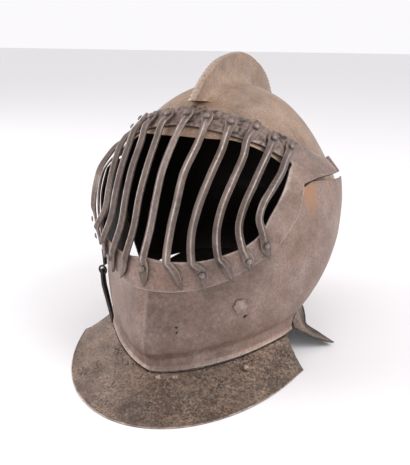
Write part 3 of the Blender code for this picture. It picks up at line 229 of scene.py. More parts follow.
# for each bar outward from the median: lateral places as shares of GRILLE_HALF_WIDTH at its
# top rivet, where it crosses the window's upper edge, at four places down its run, where it
# crosses the window's lower edge, at its lower rivet and at its tip; then the heights of the
# rivet, of both crossings, of the lower rivet and of the tip as shares of SKULL_HEIGHT
BAR_ROWS = [
    ("top", "brow", "upper", "middle", "bulge", "foot", "sill", "low", "tip",
     "top_z", "brow_z", "sill_z", "low_z", "tip_z"),
    (0.000, 0.000, 0.000, 0.000, 0.000, 0.000, 0.000, 0.000, 0.000,
     0.9140, 0.8955, 0.478, 0.440, 0.375),
    (0.155, 0.172, 0.171, 0.153, 0.1525, 0.147, 0.166, 0.203, 0.247,
     0.9070, 0.8880, 0.470, 0.424, 0.369),
    (0.3185, 0.335, 0.330, 0.314, 0.292, 0.284, 0.319, 0.361, 0.373,
     0.8910, 0.8690, 0.466, 0.422, 0.363),
    (0.4645, 0.465, 0.4685, 0.4515, 0.4305, 0.427, 0.468, 0.501, 0.525,
     0.8720, 0.8420, 0.480, 0.431, 0.387),
    (0.575, 0.597, 0.593, 0.574, 0.552, 0.546, 0.596, 0.609, 0.6145,
     0.8330, 0.8070, 0.506, 0.458, 0.417),
    (0.669, 0.702, 0.713, 0.704, 0.682, 0.674, 0.693, 0.6975, 0.716,
     0.7970, 0.7695, 0.560, 0.506, 0.450),
]
RUN_PLACES = (0.13, 0.34, 0.56, 0.78)   # where the four run stations lie between the crossings
FLUSH_LOWER = (1, 3)        # bars whose lower rivet is hammered flush

# bevor
BEVOR_UNDER = 0.0045        # how far the bevor reaches up under the visor frame
BEVOR_TOP_GAP = 0.0026      # slit between the bevor's top edge and the visor's arm
BEVOR_TOP_TURN = 114.0      # plan angle in degrees at which the bevor's top edge ends
# rear edge in side view, from the neck up: height share of FACE_HEIGHT, y share of FACE_REAR
BEVOR_REAR = [
    ("height", "y"),
    (0.00, 0.00),
    (0.10, 0.12),
    (0.25, 0.26),
    (0.45, 0.40),
    (0.70, 0.50),
    (1.00, 0.55),
]
# holes through the bevor: plan angle in degrees, height above the floor as a share of
# SKULL_HEIGHT, radius as a share of BEVOR_HOLE
BEVOR_HOLE = 0.0015
BEVOR_HOLES = [
    ("turn", "z", "radius"),
    (45.2, 0.236, 1.00),
    (18.4, 0.2255, 0.62),
    (19.2, 0.2060, 0.55),
]

# gorget plates
GORGET_DROP = 0.0020        # the front plate's upper edge below the bevor's lower edge
GORGET_TUCK = 0.0030        # how far a plate's upper edge runs in under the edge above it
RIM_HALF_WIDTH = 0.1195
RIM_FRONT = 0.1890          # from RIM_CENTRE_Y to the front of the rim on the floor
RIM_CENTRE_Y = 0.0300
RIM_SKEW = 0.070            # the rim's front leans to the wearer's left like the neck's
# depth of the front plate's two ends at its top and at its rim
GORGET_LEFT_END = (-0.0080, -0.0190)
GORGET_RIGHT_END = (-0.0340, -0.0420)
GORGET_FRONT_DISH = 1.25    # 1 is a straight flare, more drops sooner and runs out flatter
GORGET_REAR_DISH = 2.6
REAR_TIP_X = 0.1280         # the rear plate's pointed front corners
REAR_REACH = 0.1520
REAR_TIP_LIFT = 0.0040
# rear plate's rim in plan, from a front corner to the back: shares of REAR_TIP_X, REAR_REACH
REAR_RIM = [
    ("x", "y"),
    (1.00, 0.245),
    (0.82, 0.370),
    (0.70, 0.460),
    (0.63, 0.600),
    (0.54, 0.760),
    (0.40, 0.900),
    (0.20, 0.980),
    (0.00, 1.000),
]
# its upper edge: shares of REAR_TIP_X, of REAR_REACH and of SKULL_FOOT
REAR_TOP = [
    ("x", "y", "z"),
    (0.762, 0.040, 0.615),
    (0.750, 0.130, 0.640),
    (0.700, 0.250, 0.700),
    (0.640, 0.380, 0.780),
    (0.605, 0.530, 0.870),
    (0.540, 0.650, 0.940),
    (0.420, 0.755, 0.972),
    (0.220, 0.825, 0.980),
    (0.000, 0.845, 0.980),
]
# domed rivets on the front gorget plate: plan angle in degrees, share of the way to the rim
GORGET_RIVETS = [
    ("turn", "out"),
    (10.5, 0.13),
    (19.5, 0.13),
    (50.5, 0.25),
]

# rosette rivet on the wearer's left cheek
ROSETTE_RADIUS = 0.0070
ROSETTE_RISE = 0.0028
ROSETTE_TURN = 41.6         # plan angle in degrees
ROSETTE_Z = 0.2800          # share of SKULL_HEIGHT
PART_SHIFT = np.array([0.0, -0.01940687, 0.0])   # the part stands centred on the floor

# %% [markdown]
# Curves through a table should be smooth but never overshoot, or a plate would ripple between
# its rows. A monotone cubic does that. The second curve passes through points in space, for
# crests and edges.

# %% curves through tables
def shares(rows, name):
    """One column of a table whose first row holds the column names."""
    at = rows[0].index(name)
    return np.array([row[at] for row in rows[1:]], dtype=float)


def smooth(xs, ys, x):
    """Monotone cubic through the points, held level past both ends."""
    xs, ys = np.asarray(xs, float), np.asarray(ys, float)
    x = np.clip(np.asarray(x, float), xs[0], xs[-1])
    h = np.diff(xs)
    d = np.diff(ys) / h
    m = np.zeros(len(xs))
    m[0], m[-1] = d[0], d[-1]
    w1, w2 = 2 * h[1:] + h[:-1], h[1:] + 2 * h[:-1]
    same = d[:-1] * d[1:] > 0
    safe = np.where(same, d[:-1], 1.0), np.where(same, d[1:], 1.0)
    m[1:-1] = np.where(same, (w1 + w2) / (w1 / safe[0] + w2 / safe[1]), 0.0)
    i = np.clip(np.searchsorted(xs, x, side="right") - 1, 0, len(xs) - 2)
    t = (x - xs[i]) / h[i]
    return (
        ys[i] * (1 + 2 * t) * (1 - t) ** 2
        + m[i] * h[i] * t * (1 - t) ** 2
        + ys[i + 1] * t * t * (3 - 2 * t)
        - m[i + 1] * h[i] * t * t * (1 - t)
    )


def through(points, t):
    """Points on a smooth curve through the given points, t from 0 to 1 along it."""
    points = np.asarray(points, float)
    step = np.linalg.norm(np.diff(points, axis=0), axis=1)
    s = np.concatenate([[0.0], np.cumsum(np.maximum(step, 1e-9))])
    s /= s[-1]
    n = len(points)
    tangent = np.zeros_like(points)
    for i in range(n):
        a, b = max(i - 1, 0), min(i + 1, n - 1)
        tangent[i] = (points[b] - points[a]) / (s[b] - s[a])
    t = np.asarray(t, float)
    i = np.clip(np.searchsorted(s, t, side="right") - 1, 0, n - 2)
    h = (s[i + 1] - s[i])[:, None]
    u = ((t - s[i]) / (s[i + 1] - s[i]))[:, None]
    return (
        points[i] * (1 + 2 * u) * (1 - u) ** 2
        + tangent[i] * h * u * (1 - u) ** 2
        + points[i + 1] * u * u * (3 - 2 * u)
        - tangent[i + 1] * h * u * u * (1 - u)
    )

print("comb crest rows", len(COMB_CREST) - 1)

# %% [markdown]
# The two forms, as functions of plan angle and height. A layer of sheet is the form moved out
# along its normal, which a small difference in both directions gives.

# %% the two forms
def oval(phi, half_width, front, rear, power_front, power_rear, centre_y):
    """Point of a plan section at angle phi, 0 at the face and pi at the nape."""
    s, c = np.sin(phi), np.cos(phi)
    ahead = c > 0
    power = np.where(ahead, power_front, power_rear)
    x = half_width * np.sign(s) * np.abs(s) ** (2 / power)
    y = centre_y - np.where(ahead, front, -rear) * np.abs(c) ** (2 / power)
    return x, y


def skull_form(phi, z):
    """Outer surface of the skull at plan angle phi and height z."""
    row = [smooth(shares(SKULL_ROWS, "height") * SKULL_HEIGHT, shares(SKULL_ROWS, k), z)
           for k in ("width", "front", "rear")]
    # the crown closes round on the table's last rows
    x, y = oval(phi, row[0] * SKULL_HALF_WIDTH, row[1] * SKULL_HALF_LENGTH,
                row[2] * SKULL_HALF_LENGTH, SKULL_POWER, SKULL_POWER, SKULL_CENTRE_Y)
    return np.stack([x, y, z + 0 * x], -1)


def neck_z(y):
    """Height of the tilted neck plane at y."""
    return NECK_FRONT_Z + NECK_SLOPE * (y - NECK_FRONT_Y)


def face_form(phi, h):
    """Outer surface of the bevor at plan angle phi and height h above the neck plane."""
    up = shares(FACE_ROWS, "height") * FACE_HEIGHT
    width, front, mid, rear, power, keel, skew = (
        smooth(up, shares(FACE_ROWS, k), h)
        for k in ("width", "front", "mid", "rear", "power", "keel", "skew"))
    centre = mid * FACE_REAR
    x, y = oval(phi, width * FACE_HALF_WIDTH,
                front * FACE_FRONT + centre - keel * KEEL_DEPTH,
                rear * FACE_REAR - centre, power, 2.2, centre)
    ridge = np.clip(1 - np.abs(x) / KEEL_HALF_WIDTH, 0, 1)
    y = y - np.where(np.cos(phi) > 0, keel * KEEL_DEPTH * ridge, 0)
    x = x + NECK_SKEW * skew * np.clip(-y - 0.3 * FACE_FRONT, 0, None)
    return np.stack([x, y, neck_z(y) + h], -1)


def face_at(phi, z):
    """The face form at height z above the floor, found by a few fixed-point steps."""
    h = z - neck_z(np.zeros_like(z))
    for _ in range(12):
        h = h + (z - face_form(phi, h)[..., 2])
    return face_form(phi, h)


def visor_form(phi, z):
    """Middle layer under the visor frame: face form below, skull form above, blended between."""
    w = np.clip((z / SKULL_HEIGHT - VISOR_BLEND_LOW) / (VISOR_BLEND_HIGH - VISOR_BLEND_LOW), 0, 1)
    w = (w * w * (3 - 2 * w))[..., None]
    return (1 - w) * face_at(phi, z) + w * skull_form(phi, z)


def angle_at(form, y, z):
    """Plan angle at which a form at height z reaches y, by bisection; far forward gives 0."""
    low, high = np.zeros_like(y), np.full_like(y, math.pi)
    for _ in range(40):
        mid = 0.5 * (low + high)
        ahead = form(mid, z)[..., 1] < y
        low, high = np.where(ahead, mid, low), np.where(ahead, high, mid)
    return 0.5 * (low + high)


def offset(form, a, b, distance):
    """Points of form(a, b) moved along the outward normal."""
    e = 1e-4
    p = form(a, b)
    da = form(a + e, b) - form(a - e, b)
    db = form(a, b + e * 0.1) - form(a, b - e * 0.1)
    n = np.cross(da, db)
    n /= np.maximum(np.linalg.norm(n, axis=-1, keepdims=True), 1e-12)
    return p + n * distance


# %% [markdown]
# Old iron is never flat: hammer blows leave shallow hollows, and rust eats pits. Both are
# noise in space. Lattice noise is cheap and works on whole arrays, so a plate of fifty
# thousand points is displaced in a moment.

# %% noise on whole arrays
def lattice_noise(points, size, seed):
    """Value noise between 0 and 1: random values on a cubic lattice with the given cell size,
    blended between the eight corners by t*t*(3-2t) on each axis."""
    q = points / size + seed * 7.31
    cell = np.floor(q).astype(np.int64)
    t = q - cell
    t = t * t * (3 - 2 * t)
    total = np.zeros(points.shape[:-1])
    for dx in (0, 1):
        for dy in (0, 1):
            for dz in (0, 1):
                k = (cell[..., 0] + dx) * 73856093
                k = k ^ (cell[..., 1] + dy) * 19349663 ^ (cell[..., 2] + dz) * 83492791
                k = ((k ^ (k >> 13)) * 1274126177 + seed * 374761393) & 0x7FFFFFFF
                k = (k ^ (k >> 11)) & 0xFFFF
                w = np.abs(1 - dx - t[..., 0]) * np.abs(1 - dy - t[..., 1])
                total += w * np.abs(1 - dz - t[..., 2]) * k / 65535.0
    return total


def grid_normals(grid):
    """Unit normals of a grid of points: the cross product of its two gradients."""
    n = np.cross(np.gradient(grid, axis=1), np.gradient(grid, axis=0))
    return n / np.maximum(np.linalg.norm(n, axis=-1, keepdims=True), 1e-12)


def hammered(outer, inner, hollow, pit, seed):
    """The outer layer sunk toward the inner one: hollow metres of 16 mm hammer marks, and pit
    metres where 1.6 mm noise is high. Nothing stands proud of the form."""
    wide = lattice_noise(outer, 0.016, seed) * 0.6 + lattice_noise(outer, 0.007, seed + 1) * 0.4
    fine = lattice_noise(outer, 0.0016, seed + 2) * lattice_noise(outer, 0.011, seed + 3)
    sink = hollow * wide + pit * np.clip((fine - 0.42) / 0.25, 0, 1)
    away = inner - outer
    away /= np.maximum(np.linalg.norm(away, axis=-1, keepdims=True), 1e-9)
    return outer + away * sink[..., None]


print("noise range", lattice_noise(np.random.rand(2000, 3), 0.1, 1).min().round(3))

# %% [markdown]
# Each sheet is one closed surface: its outer layer, an edge, its inner layer and an edge
# again. Writing the section as a loop closes it at once, and a middle point at each edge
# rounds it, as a filed edge is. Each point also carries how worn, rusty or dark it is, which
# the iron material reads; the dark share is partly painted shade.

# %% closed sheets
def mesh_piece(name, points, quads, tris, look, nodes, marks=None, sharp=38.0):
    """A finished object from arrays, standing for its CAD nodes. marks holds the named shares
    worn, rusty and dark at each point."""
    mesh = bpy.data.meshes.new(name)
    mesh.from_pydata((points + PART_SHIFT).tolist(), [], quads.tolist() + tris.tolist())
    for key in ("worn", "rusty", "dark"):
        layer = mesh.attributes.new(key, "FLOAT", "POINT")
        values = (marks or {}).get(key, np.zeros(len(points)))
        layer.data.foreach_set("value", np.broadcast_to(values, len(points)).astype(np.float32))
    bm = bmesh.new()
    bm.from_mesh(mesh)
    bmesh.ops.remove_doubles(bm, verts=bm.verts, dist=2e-6)
    bmesh.ops.recalc_face_normals(bm, faces=bm.faces)
    bm.to_mesh(mesh)
    bm.free()
    mesh.shade_smooth()
    mesh.set_sharp_from_angle(angle=math.radians(sharp))
    mesh.materials.append(look)
    made = bpy.data.objects.new(name, mesh)
    bpy.context.scene.collection.objects.link(made)
    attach(made, "helmet")
    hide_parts(*nodes)
    return made


def loop_faces(rows, cols, wrap):
    """Quads and triangles of a closed section loop of rows points (edge point, outer layer,
    edge point, inner layer) swept over cols stations, with caps where it doesn't wrap."""
    i, j = np.meshgrid(np.arange(rows), np.arange(cols if wrap else cols - 1), indexing="ij")
    up, right = (i + 1) % rows, (j + 1) % cols
    quads = np.stack([i * cols + j, i * cols + right, up * cols + right, up * cols + j], -1)
    quads, tris = quads.reshape(-1, 4), np.zeros((0, 3), int)
    if not wrap:
        half = rows // 2
        k = np.arange(1, half - 1)
        for col in (0, cols - 1):
            cap = np.stack([k, k + 1, rows - k - 1, rows - k], -1) * cols + col
            ends = np.array([[0, 1, rows - 1], [half - 1, half, half + 1]]) * cols + col
            quads, tris = np.concatenate([quads, cap]), np.concatenate([tris, ends])
    return quads, tris


def sheet_loop(outer, inner, round_off=0.3):
    """The section loop of a sheet. Its edge rows draw in by round_off of the wall."""
    pull = round_off * np.linalg.norm(outer[0] - inner[0], axis=-1)[:, None]

    def drawn(a, b):
        step = b - a
        return a + step / np.maximum(np.linalg.norm(step, axis=-1, keepdims=True), 1e-9) * pull

    top, low = outer.copy(), inner.copy()
    for layer in (top, low):
        first, last = layer[0].copy(), layer[-1].copy()
        layer[0], layer[-1] = drawn(first, layer[2]), drawn(last, layer[-3])
    start = (outer[:1] + inner[:1]) / 2
    end = (outer[-1:] + inner[-1:]) / 2
    return np.concatenate([start, top, end, low[::-1]])


def spread(values, rows, cols):
    """Marks of the outer layer laid over the whole loop; its edge rows and inner layer stay at zero.
    """
    whole = np.zeros((2 * rows + 2, cols))
    whole[1:rows + 1] = values
    return whole

# %% [markdown]
# The iron is one idea with several ages: a brown patina, a fine dark grain, rust where the
# surface says so, and pale metal where hands and edges rub. Each effect is a node group, so
# that the plates share it and differ only in a few numbers.

# %% shared effects
def group(name, inputs, outputs):
    """An empty shader node group with named sockets."""
    made = bpy.data.node_groups.new(name, "ShaderNodeTree")
    for title, kind, value in inputs:
        socket = made.interface.new_socket(title, in_out="INPUT", socket_type=kind)
        if value is not None:
            socket.default_value = value
    for title, kind in outputs:
        made.interface.new_socket(title, in_out="OUTPUT", socket_type=kind)
    return made, made.nodes.new("NodeGroupInput"), made.nodes.new("NodeGroupOutput")


def noise_node(tree, vector, scale, detail=4.0, rough=0.6):
    """A noise texture on a vector socket; its factor socket is returned."""
    made = tree.nodes.new("ShaderNodeTexNoise")
    made.inputs["Scale"].default_value = scale
    made.inputs["Detail"].default_value = detail
    made.inputs["Roughness"].default_value = rough
    tree.links.new(vector, made.inputs["Vector"])
    return made.outputs[0]


def ramp(tree, value, low, high):
    """A value stretched from low..high to 0..1."""
    made = tree.nodes.new("ShaderNodeMapRange")
    made.inputs["From Min"].default_value = low
    made.inputs["From Max"].default_value = high
    tree.links.new(value, made.inputs["Value"])
    return made.outputs["Result"]


def maths(tree, kind, a, b):
    """A maths node on two sockets or numbers."""
    made = tree.nodes.new("ShaderNodeMath")
    made.operation = kind
    for socket, value in zip(made.inputs, (a, b)):
        if isinstance(value, (int, float)):
            socket.default_value = value
        else:
            tree.links.new(value, socket)
    return made.outputs[0]


def mix(tree, share, a, b):
    """A colour mixed from a to b; colours are sockets or triples."""
    made = tree.nodes.new("ShaderNodeMix")
    made.data_type = "RGBA"
    factor, first, second = made.inputs[0], made.inputs[6], made.inputs[7]
    for socket, value in ((factor, share), (first, a), (second, b)):
        if isinstance(value, tuple):
            socket.default_value = (*value, 1.0)
        elif isinstance(value, (int, float)):
            socket.default_value = value
        else:
            tree.links.new(value, socket)
    return made.outputs[2]


def patina_group():
    """Clouded brown patina with dark grain, out of three sizes of noise."""
    tree, given, out = group(
        "iron patina",
        [("Vector", "NodeSocketVector", None), ("Dark", "NodeSocketColor", (0, 0, 0, 1)),
         ("Light", "NodeSocketColor", (1, 1, 1, 1)), ("Tint", "NodeSocketColor", (1, 1, 1, 1)),
         ("Grain", "NodeSocketFloat", 0.5)],
        [("Color", "NodeSocketColor"), ("Height", "NodeSocketFloat")])
    v = given.outputs["Vector"]
    cloud = ramp(tree, noise_node(tree, v, 38.0, 5.0), 0.32, 0.68)
    tone = ramp(tree, noise_node(tree, v, 16.0, 3.0), 0.40, 0.72)
    grain = ramp(tree, noise_node(tree, v, 460.0, 4.0, 0.8), 0.42, 0.60)
    colour = mix(tree, cloud, given.outputs["Dark"], given.outputs["Light"])
    colour = mix(tree, maths(tree, "MULTIPLY", tone, 0.55), colour, given.outputs["Tint"])
    speck = maths(tree, "MULTIPLY", grain, given.outputs["Grain"])
    grime_and_painted_shade = mix(tree, 0.62, given.outputs["Dark"], (0.02, 0.014, 0.010))
    colour = mix(tree, speck, colour, grime_and_painted_shade)
    gold = ramp(tree, noise_node(tree, v, 210.0, 5.0, 0.75), 0.60, 0.74)
    colour = mix(tree, maths(tree, "MULTIPLY", gold, 0.4), colour, given.outputs["Tint"])
    tree.links.new(colour, out.inputs["Color"])
    tree.links.new(maths(tree, "SUBTRACT", 1.0, speck), out.inputs["Height"])
    return tree


def pits_group():
    """Rust pits: small dark cells where a slower noise lets them grow."""
    tree, given, out = group(
        "rust pits",
        [("Vector", "NodeSocketVector", None), ("Amount", "NodeSocketFloat", 0.4),
         ("Scale", "NodeSocketFloat", 420.0)],
        [("Mask", "NodeSocketFloat"), ("Height", "NodeSocketFloat")])
    cells = tree.nodes.new("ShaderNodeTexVoronoi")
    tree.links.new(given.outputs["Vector"], cells.inputs["Vector"])
    tree.links.new(given.outputs["Scale"], cells.inputs["Scale"])
    patch = ramp(tree, noise_node(tree, given.outputs["Vector"], 60.0, 4.0), 0.35, 0.75)
    size = maths(tree, "MULTIPLY", patch, given.outputs["Amount"])
    depth = maths(tree, "SUBTRACT", size, cells.outputs["Distance"])
    mask = ramp(tree, depth, 0.0, 0.22)
    tree.links.new(mask, out.inputs["Mask"])
    tree.links.new(maths(tree, "SUBTRACT", 1.0, mask), out.inputs["Height"])
    return tree


def wear_group():
    """Bright worn metal, broken up so that a rubbed edge is never an even line."""
    tree, given, out = group(
        "edge wear",
        [("Vector", "NodeSocketVector", None), ("Worn", "NodeSocketFloat", 0.0)],
        [("Mask", "NodeSocketFloat")])
    broken = ramp(tree, noise_node(tree, given.outputs["Vector"], 260.0, 5.0, 0.7), 0.30, 0.62)
    mask = maths(tree, "MULTIPLY", given.outputs["Worn"], maths(tree, "ADD", broken, 0.25))
    tree.links.new(maths(tree, "MINIMUM", mask, 1.0), out.inputs["Mask"])
    return tree


PATINA, PITS, WEAR = patina_group(), pits_group(), wear_group()
print("groups", PATINA.name, PITS.name, WEAR.name)

# %% [markdown]
# One function assembles an iron from the groups. The plates read their worn, rusty and dark
# shares from the mesh, the dark share holding painted shade as well as stains; the small CAD
# pieces have none, and then the material gives zero.

# %% the irons
def iron(name, dark, light, tint, grain, pits, roughness, bump=0.5):
    """Aged iron: patina, pits, rust and wear in that order over a Principled shader."""
    made = bpy.data.materials.new(name)
    made.use_nodes = True
    tree = made.node_tree
    shader = tree.nodes["Principled BSDF"]
    where = tree.nodes.new("ShaderNodeTexCoord").outputs["Object"]

    def use(kind, **values):
        node = tree.nodes.new("ShaderNodeGroup")
        node.node_tree = kind
        tree.links.new(where, node.inputs["Vector"])
        for key, value in values.items():
            if isinstance(value, tuple):
                node.inputs[key].default_value = (*value, 1.0)
            elif isinstance(value, (int, float)):
                node.inputs[key].default_value = value
            else:
                tree.links.new(value, node.inputs[key])
        return node

    def mark(key):
        node = tree.nodes.new("ShaderNodeAttribute")
        node.attribute_name = key
        return node.outputs["Fac"]

    patina = use(PATINA, Dark=dark, Light=light, Tint=tint, Grain=grain)
    pit = use(PITS, Amount=pits, Scale=430.0)
    wear = use(WEAR, Worn=mark("worn"))
    colour = mix(tree, maths(tree, "MULTIPLY", pit.outputs["Mask"], 0.7),
                 patina.outputs["Color"], tuple(0.35 * c for c in dark))
    colour = mix(tree, mark("rusty"), colour, (0.36, 0.19, 0.10))
    colour = mix(tree, wear.outputs["Mask"], colour, (0.52, 0.45, 0.40))
    # the dark share mixes toward near-black: it carries painted shade (inner layers, holes, the
    # bevor's front, the brow band, one side of the gorgets) as well as stains and specks
    colour = mix(tree, mark("dark"), colour, (0.012, 0.010, 0.009))
    tree.links.new(colour, shader.inputs["Base Color"])
    rough = maths(tree, "SUBTRACT", roughness, maths(tree, "MULTIPLY", wear.outputs["Mask"], 0.14))
    rough = maths(tree, "ADD", rough, maths(tree, "MULTIPLY", pit.outputs["Mask"], 0.15))
    tree.links.new(rough, shader.inputs["Roughness"])
    shader.inputs["Metallic"].default_value = 0.42
    relief = tree.nodes.new("ShaderNodeBump")
    relief.inputs["Strength"].default_value = bump
    relief.inputs["Distance"].default_value = 0.0004
    height = maths(tree, "ADD", maths(tree, "MULTIPLY", patina.outputs["Height"], 0.4),
                   pit.outputs["Height"])
    tree.links.new(height, relief.inputs["Height"])
    tree.links.new(relief.outputs["Normal"], shader.inputs["Normal"])
    return made


GOLDEN = iron("golden_iron", (0.22, 0.15, 0.11), (0.43, 0.31, 0.24), (0.44, 0.26, 0.14),
              0.42, 0.40, 0.50)
BROWN = iron("brown_iron", (0.19, 0.13, 0.105), (0.37, 0.27, 0.235), (0.32, 0.195, 0.14),
             0.40, 0.40, 0.50)
WORN = iron("worn_iron", (0.085, 0.062, 0.054), (0.23, 0.170, 0.150), (0.17, 0.105, 0.08),
            0.45, 0.50, 0.44)
PITTED = iron("pitted_iron", (0.13, 0.088, 0.068), (0.38, 0.275, 0.215), (0.33, 0.205, 0.13),
              0.72, 0.80, 0.52, 0.9)
BLACK = iron("black_iron", (0.014, 0.011, 0.010), (0.045, 0.036, 0.032), (0.04, 0.028, 0.022),
             0.40, 0.45, 0.50)
print("irons", [m.name for m in (GOLDEN, BROWN, WORN, PITTED, BLACK)])

# %% [markdown]
# The skull was raised from one plate. Here it is a grid of plan angles and heights between
# its lower edge, which climbs round the face opening, and the crown, where the grid closes
# on one point.

# %% skull bowl
def skull_bowl():
    """Bowl of oval sections: points of the skull form from the edge height low(phi) up to the
    crown, rows crowding upward by sin(v*pi/2)**0.9."""
    around, up = 360, 96
    phi = (np.arange(around) + 0.5) * 2 * math.pi / around
    turn = np.minimum(phi, 2 * math.pi - phi)
    window_y = SKULL_CENTRE_Y + shares(SKULL_WINDOW, "y") * SKULL_HALF_LENGTH
    window_z = shares(SKULL_WINDOW, "z") * SKULL_HEIGHT
    edge_phi, edge_z = angle_at(skull_form, window_y[2:10], window_z[2:10]), window_z[2:10]
    keys = np.concatenate([[0.0], edge_phi, [edge_phi[-1] + 0.02, math.pi]])
    low = smooth(keys, np.concatenate([[SKULL_WINDOW[2][1] * SKULL_HEIGHT], edge_z,
                                       [SKULL_FOOT, SKULL_FOOT]]), turn)
    v = np.sin(np.linspace(0, 0.955, up) * math.pi / 2)[:, None] ** 0.9
    z = low[None, :] + (SKULL_HEIGHT - low[None, :]) * v
    # below its rearmost point the opening's edge runs forward again, so the columns lean
    flap_z = np.array([SKULL_FOOT, window_z[10], window_z[9]])
    flap_y = np.interp(flap_z, window_z[[11, 10, 9]], window_y[[11, 10, 9]])
    lean, rear = smooth(flap_z, angle_at(skull_form, flap_y, flap_z), z), edge_phi[-1]
    share = (turn[None, :] - rear) / (math.pi - rear)
    leaned = np.where(share > 0, lean + (math.pi - lean) * share, turn[None, :])
    grid_phi = np.where(phi[None, :] > math.pi, 2 * math.pi - leaned, leaned)
    outer, inner = skull_form(grid_phi, z), offset(skull_form, grid_phi, z, -SKULL_WALL)
    inner[0, :, 2] = outer[0, :, 2]
    outer = hammered(outer, inner, 0.0004, 0.00012, 3)
    points = np.concatenate([outer.reshape(-1, 3), inner.reshape(-1, 3),
                             [[0, SKULL_CENTRE_Y, SKULL_HEIGHT],
                              [0, SKULL_CENTRE_Y, SKULL_HEIGHT - SKULL_WALL]]])
    i, j = np.meshgrid(np.arange(up - 1), np.arange(around), indexing="ij")
    right, size = (j + 1) % around, up * around
    quads = np.stack([i * around + j, i * around + right, (i + 1) * around + right,
                      (i + 1) * around + j], -1).reshape(-1, 4)
    rim = np.stack([np.arange(around), (np.arange(around) + 1) % around], -1)
    edge = np.concatenate([rim, rim[:, ::-1] + size], -1)
    last = rim + (up - 1) * around
    caps = [np.column_stack([last, np.full(around, 2 * size)]),
            np.column_stack([last[:, ::-1] + size, np.full(around, 2 * size + 1)])]
    quads = np.concatenate([quads, quads[:, ::-1] + size, edge])
    dark = np.zeros(len(points))
    # painted shade: the inner layer is mixed nearly to black for the shade inside the helmet
    dark[size:2 * size] = 0.96
    side = points[:size]
    near = np.exp(-(side[:, 0] / 0.035) ** 2 - ((side[:, 1] - 0.0) / 0.045) ** 2)
    rust = near * np.clip(lattice_noise(side, 0.005, 61) * lattice_noise(side, 0.0014, 62) * 3
                          - 0.9, 0, 1)
    marks = {"dark": dark, "rusty": np.concatenate([rust * 0.7, np.zeros(size + 2)])}
    return mesh_piece("skull_bowl", points, quads, np.concatenate(caps), GOLDEN, ["skull"],
                      marks)


print("skull bowl", len(skull_bowl().data.vertices), "points")

# %% [markdown]
# The comb was raised with the skull and folded thin, and its crest was roped with a chisel.
# It is a second surface standing on the bowl: a section of a few points at each station along
# the median, smoothed across, then grooved aslant along the crest.

# %% comb
def skull_drop(x, p, hub, depth):
    """Point at lateral x on the skull form, in the plane through the X axis at hub and p."""
    d = (p - hub) / np.linalg.norm(p - hub)
    low, high = 0.0, 2.0 * SKULL_HEIGHT
    for _ in range(36):
        mid = 0.5 * (low + high)
        q = hub + d * mid + np.array([x, 0, 0])
        z = min(max(q[2], 0.0), SKULL_HEIGHT * 0.99999)
        row = [float(smooth(shares(SKULL_ROWS, "height") * SKULL_HEIGHT,
                            shares(SKULL_ROWS, k), z)) for k in ("width", "front", "rear")]
        length = (row[1] if q[1] < SKULL_CENTRE_Y else row[2]) * SKULL_HALF_LENGTH
        level = (abs(q[0]) / max(row[0] * SKULL_HALF_WIDTH, 1e-9)) ** SKULL_POWER + (
            abs(q[1] - SKULL_CENTRE_Y) / max(length, 1e-9)) ** SKULL_POWER
        if level < 1 and q[2] < SKULL_HEIGHT:
            low = mid
        else:
            high = mid
    return hub + d * (low - depth) + np.array([x, 0, 0])


def median_frames(count):
    """Crest and foot of the comb at stations along the median, with the hub they fan from."""
    ys = SKULL_CENTRE_Y + shares(COMB_CREST, "y") * SKULL_HALF_LENGTH
    zs = shares(COMB_CREST, "z") * COMB_CREST_HEIGHT
    t = np.linspace(0, 1, count)
    crest = through(np.stack([0 * ys, ys, zs], -1), t)
    step = np.hypot(np.diff(ys), np.diff(zs))
    along = np.concatenate([[0.0], np.cumsum(step)])
    angle = np.radians(smooth(along / along[-1], shares(COMB_CREST, "foot"), t))
    hub = np.array([0.0, SKULL_CENTRE_Y, COMB_HUB_HEIGHT])
    away = np.stack([0 * angle, -np.cos(angle), np.sin(angle)], -1)
    foot = np.array([skull_drop(0.0, hub + d * 0.1, hub, 0.0) for d in away])
    return crest, foot, hub


